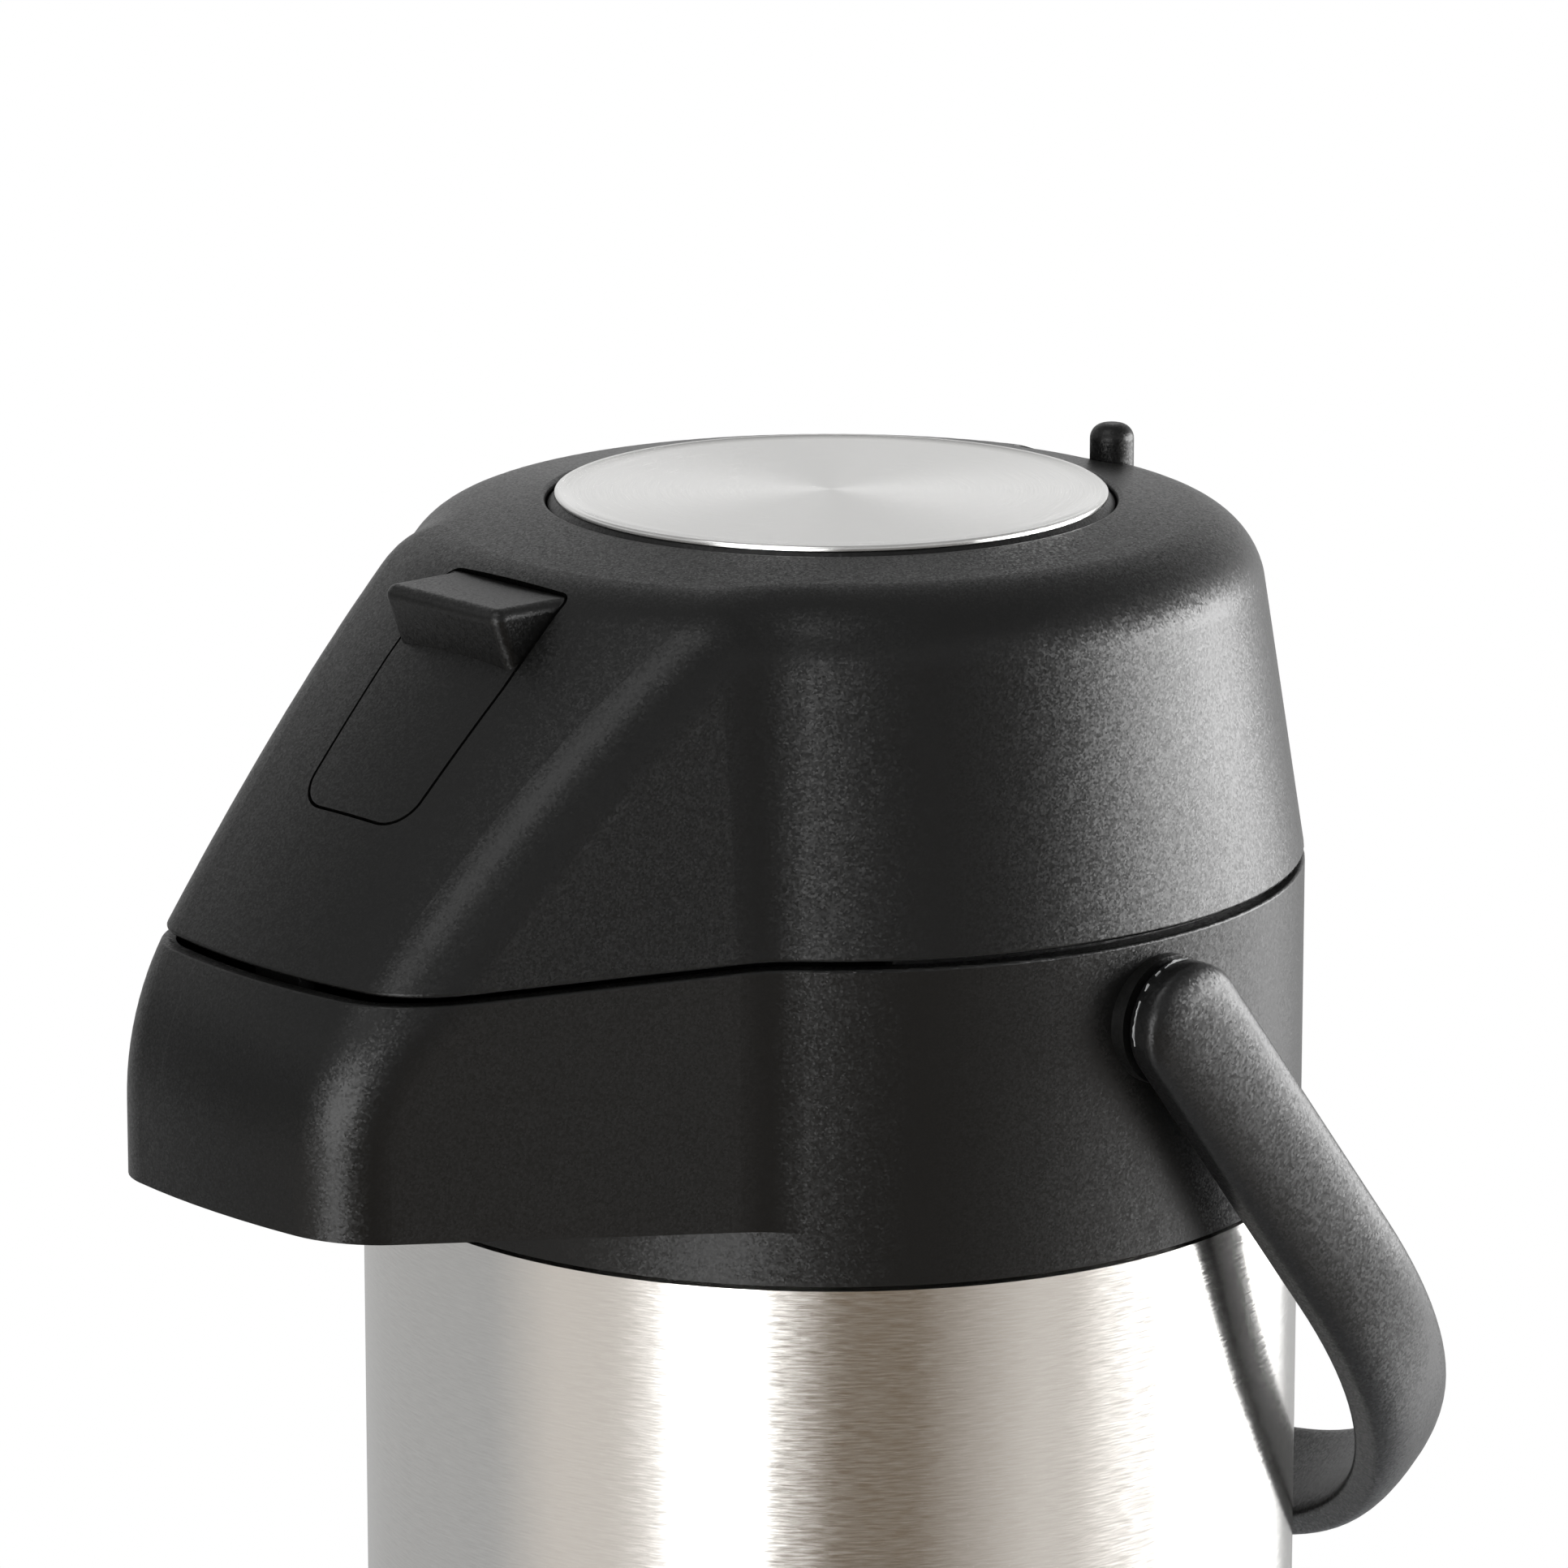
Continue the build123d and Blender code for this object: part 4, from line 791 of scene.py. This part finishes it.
def bellows_outline():
    """The closed outline of the bellows' wall, as (radius, height) points."""
    low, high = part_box("bellows")
    rim = high.x
    tall = high.z - low.z - 2 * FLANGE
    wave = []
    for i in range(FOLDS * POINTS_A_FOLD + 1):
        swing = 0.5 - 0.5 * cos(2 * pi * i / POINTS_A_FOLD)
        height = low.z + FLANGE + tall * i / (FOLDS * POINTS_A_FOLD)
        wave.append((rim - FOLD_DEEP * (1 - swing), height))
    hole = rim - FOLD_DEEP - SILICONE_WALL
    outer = [(hole, low.z), (rim, low.z), (rim, low.z + FLANGE_EDGE)] + wave
    outer += [(rim, high.z - FLANGE_EDGE), (rim, high.z), (hole, high.z)]
    return outer + [(radius - SILICONE_WALL, height) for radius, height in reversed(wave[1:-1])]


def make_bellows():
    nothing_selected()
    outline = bellows_outline()
    bpy.ops.mesh.primitive_circle_add(vertices=len(outline), radius=1, fill_type="NOTHING",
                                      location=(0, 0, 0))
    bellows = bpy.context.object
    for vert, (radius, height) in zip(bellows.data.vertices, outline):
        vert.co = (radius, 0, height)
    bpy.ops.object.mode_set(mode="EDIT")
    bpy.ops.mesh.select_all(action="SELECT")
    bpy.ops.mesh.spin(steps=SPIN_STEPS, angle=2 * pi, center=(0, 0, 0), axis=(0, 0, 1))
    finish_piece(bellows, "pump_bellows", silicone, 50)
    squash_with_pump(bellows, "bellows")


make_bellows()


# %% [markdown]
# The spring is wound in the construction already, as loose triangles. A copy of it is merged and
# smoothed, and has a mesh of its own.

# %% Return spring
def smooth_copy(node, name, material, smooth_deg):
    """A merged and smoothed copy of a construction piece."""
    nothing_selected()
    piece = frame["nodes"][node].copy()
    piece.data = piece.data.copy()
    for key in list(piece.keys()):
        del piece[key]
    bpy.context.collection.objects.link(piece)
    bpy.context.view_layer.objects.active = piece
    piece.select_set(True)
    bpy.ops.object.mode_set(mode="EDIT")
    finish_piece(piece, name, material, smooth_deg)
    return piece


spring = smooth_copy("pump_spring", "return_spring", fastener_steel, 60)
squash_with_pump(spring, "pump_spring")

# %% [markdown]
# ## Carrying handle
#
# The handle is one band of plastic, with a softly crowned outer face and a flatter inner one. The section
# starts as a circle, and its points are moved out to that shape.

# %% The handle's section
SECTION_POINTS = 72
HANDLE_THICK = 0.008
HANDLE_HALF = 0.0105
OUTER_SQUARE = 3.4
INNER_SQUARE = 7.0
CROWN_SHARE = 0.24


def section_point(turn):
    """A point of the section: its way out from the band's middle, and its way across."""
    out, across = cos(turn), sin(turn)
    square = OUTER_SQUARE if out > 0 else INNER_SQUARE
    wide = abs(across) ** (2 / square) * (1 if across > 0 else -1)
    deep = abs(out) ** (2 / square) * (1 if out > 0 else -1)
    if out > 0:
        deep *= 1 - CROWN_SHARE * wide ** 2
    return deep * HANDLE_THICK / 2, wide * HANDLE_HALF


def pick(piece, test):
    """Selects the points of a piece in edit mode that pass a test."""
    bpy.ops.mesh.select_mode(type="VERT")
    bpy.ops.mesh.select_all(action="DESELECT")
    mesh = bmesh.from_edit_mesh(piece.data)
    for vert in mesh.verts:
        vert.select = test(vert.co)
    mesh.select_flush(True)
    bmesh.update_edit_mesh(piece.data)


# %% [markdown]
# The new handle hangs exactly where the plain one of the construction hangs. The middle of the plain
# grip gives its lean, and the point that lies farthest along that lean gives the arms' length.

# %% Where the plain handle hangs
MIDDLE_BAND = 0.003

bail = frame["nodes"]["handle_bail"]
pivot_z = joint_named("handle_swing")["pos_m"][2]
grip_points = [v.co for v in bail.data.vertices if abs(v.co.x) < MIDDLE_BAND]
grip_middle = sum(grip_points, Vector()) / len(grip_points)
hang = Vector((0, grip_middle.y, grip_middle.z - pivot_z)).normalized()
lean = atan2(hang.y, -hang.z)
bail_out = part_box("handle_bail")[1].x
bail_far = max(v.co.y * hang.y + (v.co.z - pivot_z) * hang.z for v in bail.data.vertices)
arm_long = bail_far - bail_out
print("arms", round(arm_long, 4), "long, leaning", round(degrees(lean), 1), "degrees")

# %% [markdown]
# Half of the section is spun round the pivot for the first eye. The whole of it is drawn down for one
# arm, spun half a turn for the grip and drawn up again for the other arm, and the second eye closes it.
# It is modelled hanging straight down, and then leaned back.

# %% Handle
EYE_STEPS = 28
GRIP_STEPS = 72
TOUCHING = 1e-6


def spin_eye(handle, side):
    """Closes an arm's upper end with a round eye, by half a turn of half its section."""
    pick(handle, lambda p: abs(p.z) < TOUCHING and p.y > -TOUCHING and p.x * side > 0)
    bpy.ops.mesh.spin(steps=EYE_STEPS, angle=-pi, center=(0, 0, 0), axis=(1, 0, 0))
    bpy.ops.mesh.select_all(action="SELECT")
    bpy.ops.mesh.remove_doubles(threshold=TOUCHING)


def draw_arms(handle):
    """Draws the section down for an arm, round for the grip, and up for the other arm."""
    pick(handle, lambda p: abs(p.z) < TOUCHING)
    extrude_by((0, 0, -arm_long))
    pick(handle, lambda p: abs(p.z + arm_long) < TOUCHING)
    bpy.ops.mesh.spin(steps=GRIP_STEPS, angle=-pi, center=(0, 0, -arm_long), axis=(0, 1, 0))
    pick(handle, lambda p: abs(p.z + arm_long) < TOUCHING and p.x < 0)
    extrude_by((0, 0, arm_long))


def make_handle():
    nothing_selected()
    middle = bail_out - HANDLE_THICK / 2
    bpy.ops.mesh.primitive_circle_add(vertices=SECTION_POINTS, radius=1, fill_type="NOTHING",
                                      location=(0, 0, 0))
    handle = bpy.context.object
    for vert in handle.data.vertices:
        out, across = section_point(atan2(vert.co.y, vert.co.x))
        vert.co = (middle + out, across, 0)
    bpy.ops.object.mode_set(mode="EDIT")
    spin_eye(handle, 1)
    draw_arms(handle)
    spin_eye(handle, -1)
    bpy.ops.object.mode_set(mode="OBJECT")
    handle.rotation_euler = (lean, 0, 0)
    handle.location = (0, 0, pivot_z)
    bpy.ops.object.mode_set(mode="EDIT")
    finish_piece(handle, "carrying_handle", handle_plastic, 50)
    return handle


handle = make_handle()
box_corners = (handle.bound_box[0], handle.bound_box[6])
print("handle box", [round(v, 4) for corner in box_corners for v in corner])

# %% [markdown]
# A blind bore in each eye takes its pivot pin. A cylinder that starts inside the band's inner face is cut
# out of the eye, and leaves a thin wall outside.

# %% Bores of the eyes
PIN_BORE_R = 0.00405
BORE_END = 0.0013
BORE_START = 0.002
BORE_SIDES = 48


def bore_eye(piece, side):
    """Cuts the blind bore of a pivot pin into an eye."""
    nothing_selected()
    start = bail_out - HANDLE_THICK - BORE_START
    long = bail_out - BORE_END - start
    bpy.ops.mesh.primitive_cylinder_add(vertices=BORE_SIDES, radius=PIN_BORE_R, depth=long,
                                        rotation=(0, pi / 2, 0),
                                        location=(side * (start + long / 2), 0, pivot_z))
    drill = bpy.context.object
    bpy.ops.object.transform_apply(location=True, rotation=True, scale=True)
    bpy.context.view_layer.objects.active = piece
    cut = piece.modifiers.new("bore", "BOOLEAN")
    cut.operation = "DIFFERENCE"
    cut.object = drill
    bpy.ops.object.modifier_apply(modifier=cut.name)
    bpy.data.objects.remove(drill, do_unlink=True)


for side in (1, -1):
    bore_eye(handle, side)
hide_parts("handle_bail")
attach(handle, "handle")
print("bored handle has", len(handle.data.polygons), "faces")

# %% [markdown]
# ## Mould flash on the handle
#
# Where the two halves of the handle's mould met, a thin pale skin of plastic was left on the rim of the
# eye. It is a few short ragged slivers: parts of a circle round the pivot, drawn outwards, made uneven by
# moving single points, and given a thickness.

# %% Flash slivers
EYE_R = HANDLE_HALF
EYE_RIM = EYE_R * 1.01
FLASH_X = 0.0844
FLASH_OUT = 0.0004
FLASH_THICK = 0.00014
FLASH_SUNK = 0.0001
FLASH_WAVE = 0.0002
FLASH_SIDES = 360
FLASH_ARCS = ((82, 112), (117, 124), (133, 141), (150, 192))


def fray(flash):
    """Makes the slivers' outer edge uneven, and sinks their inner edge into the rim."""
    for i, vert in enumerate(flash.data.vertices):
        out = Vector((0, vert.co.y, vert.co.z - pivot_z))
        if out.length > EYE_RIM:
            ragged = 0.5 + 0.3 * sin(0.31 * i) + 0.2 * sin(0.83 * i + 1.0)
            vert.co -= out.normalized() * FLASH_OUT * 0.8 * ragged
            vert.co.x += FLASH_WAVE * sin(0.23 * i)
        else:
            vert.co -= out.normalized() * FLASH_SUNK


def make_flash():
    nothing_selected()
    bpy.ops.mesh.primitive_circle_add(vertices=FLASH_SIDES, radius=EYE_R, fill_type="NOTHING",
                                      location=(FLASH_X, 0, pivot_z), rotation=(0, pi / 2, 0))
    flash = bpy.context.object
    bpy.ops.object.transform_apply(location=True, rotation=True, scale=True)
    bpy.ops.object.mode_set(mode="EDIT")
    bpy.ops.mesh.select_all(action="DESELECT")
    mesh = bmesh.from_edit_mesh(flash.data)
    for vert in mesh.verts:
        turn = degrees(atan2(vert.co.z - pivot_z, vert.co.y)) % 360
        vert.select = not any(start <= turn <= end for start, end in FLASH_ARCS)
    bmesh.update_edit_mesh(flash.data)
    bpy.ops.mesh.delete(type="VERT")
    bpy.ops.mesh.select_all(action="SELECT")
    bpy.ops.mesh.extrude_region_move()
    grow = 1 + FLASH_OUT / EYE_R
    bpy.ops.transform.resize(value=(1, grow, grow), center_override=(FLASH_X, 0, pivot_z))
    bpy.ops.object.mode_set(mode="OBJECT")
    fray(flash)
    solid = flash.modifiers.new("thickness", "SOLIDIFY")
    solid.thickness = FLASH_THICK
    bpy.ops.object.modifier_apply(modifier=solid.name)
    bpy.ops.object.mode_set(mode="EDIT")
    finish_piece(flash, "handle_flash", flash_plastic)
    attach(flash, "handle")


make_flash()
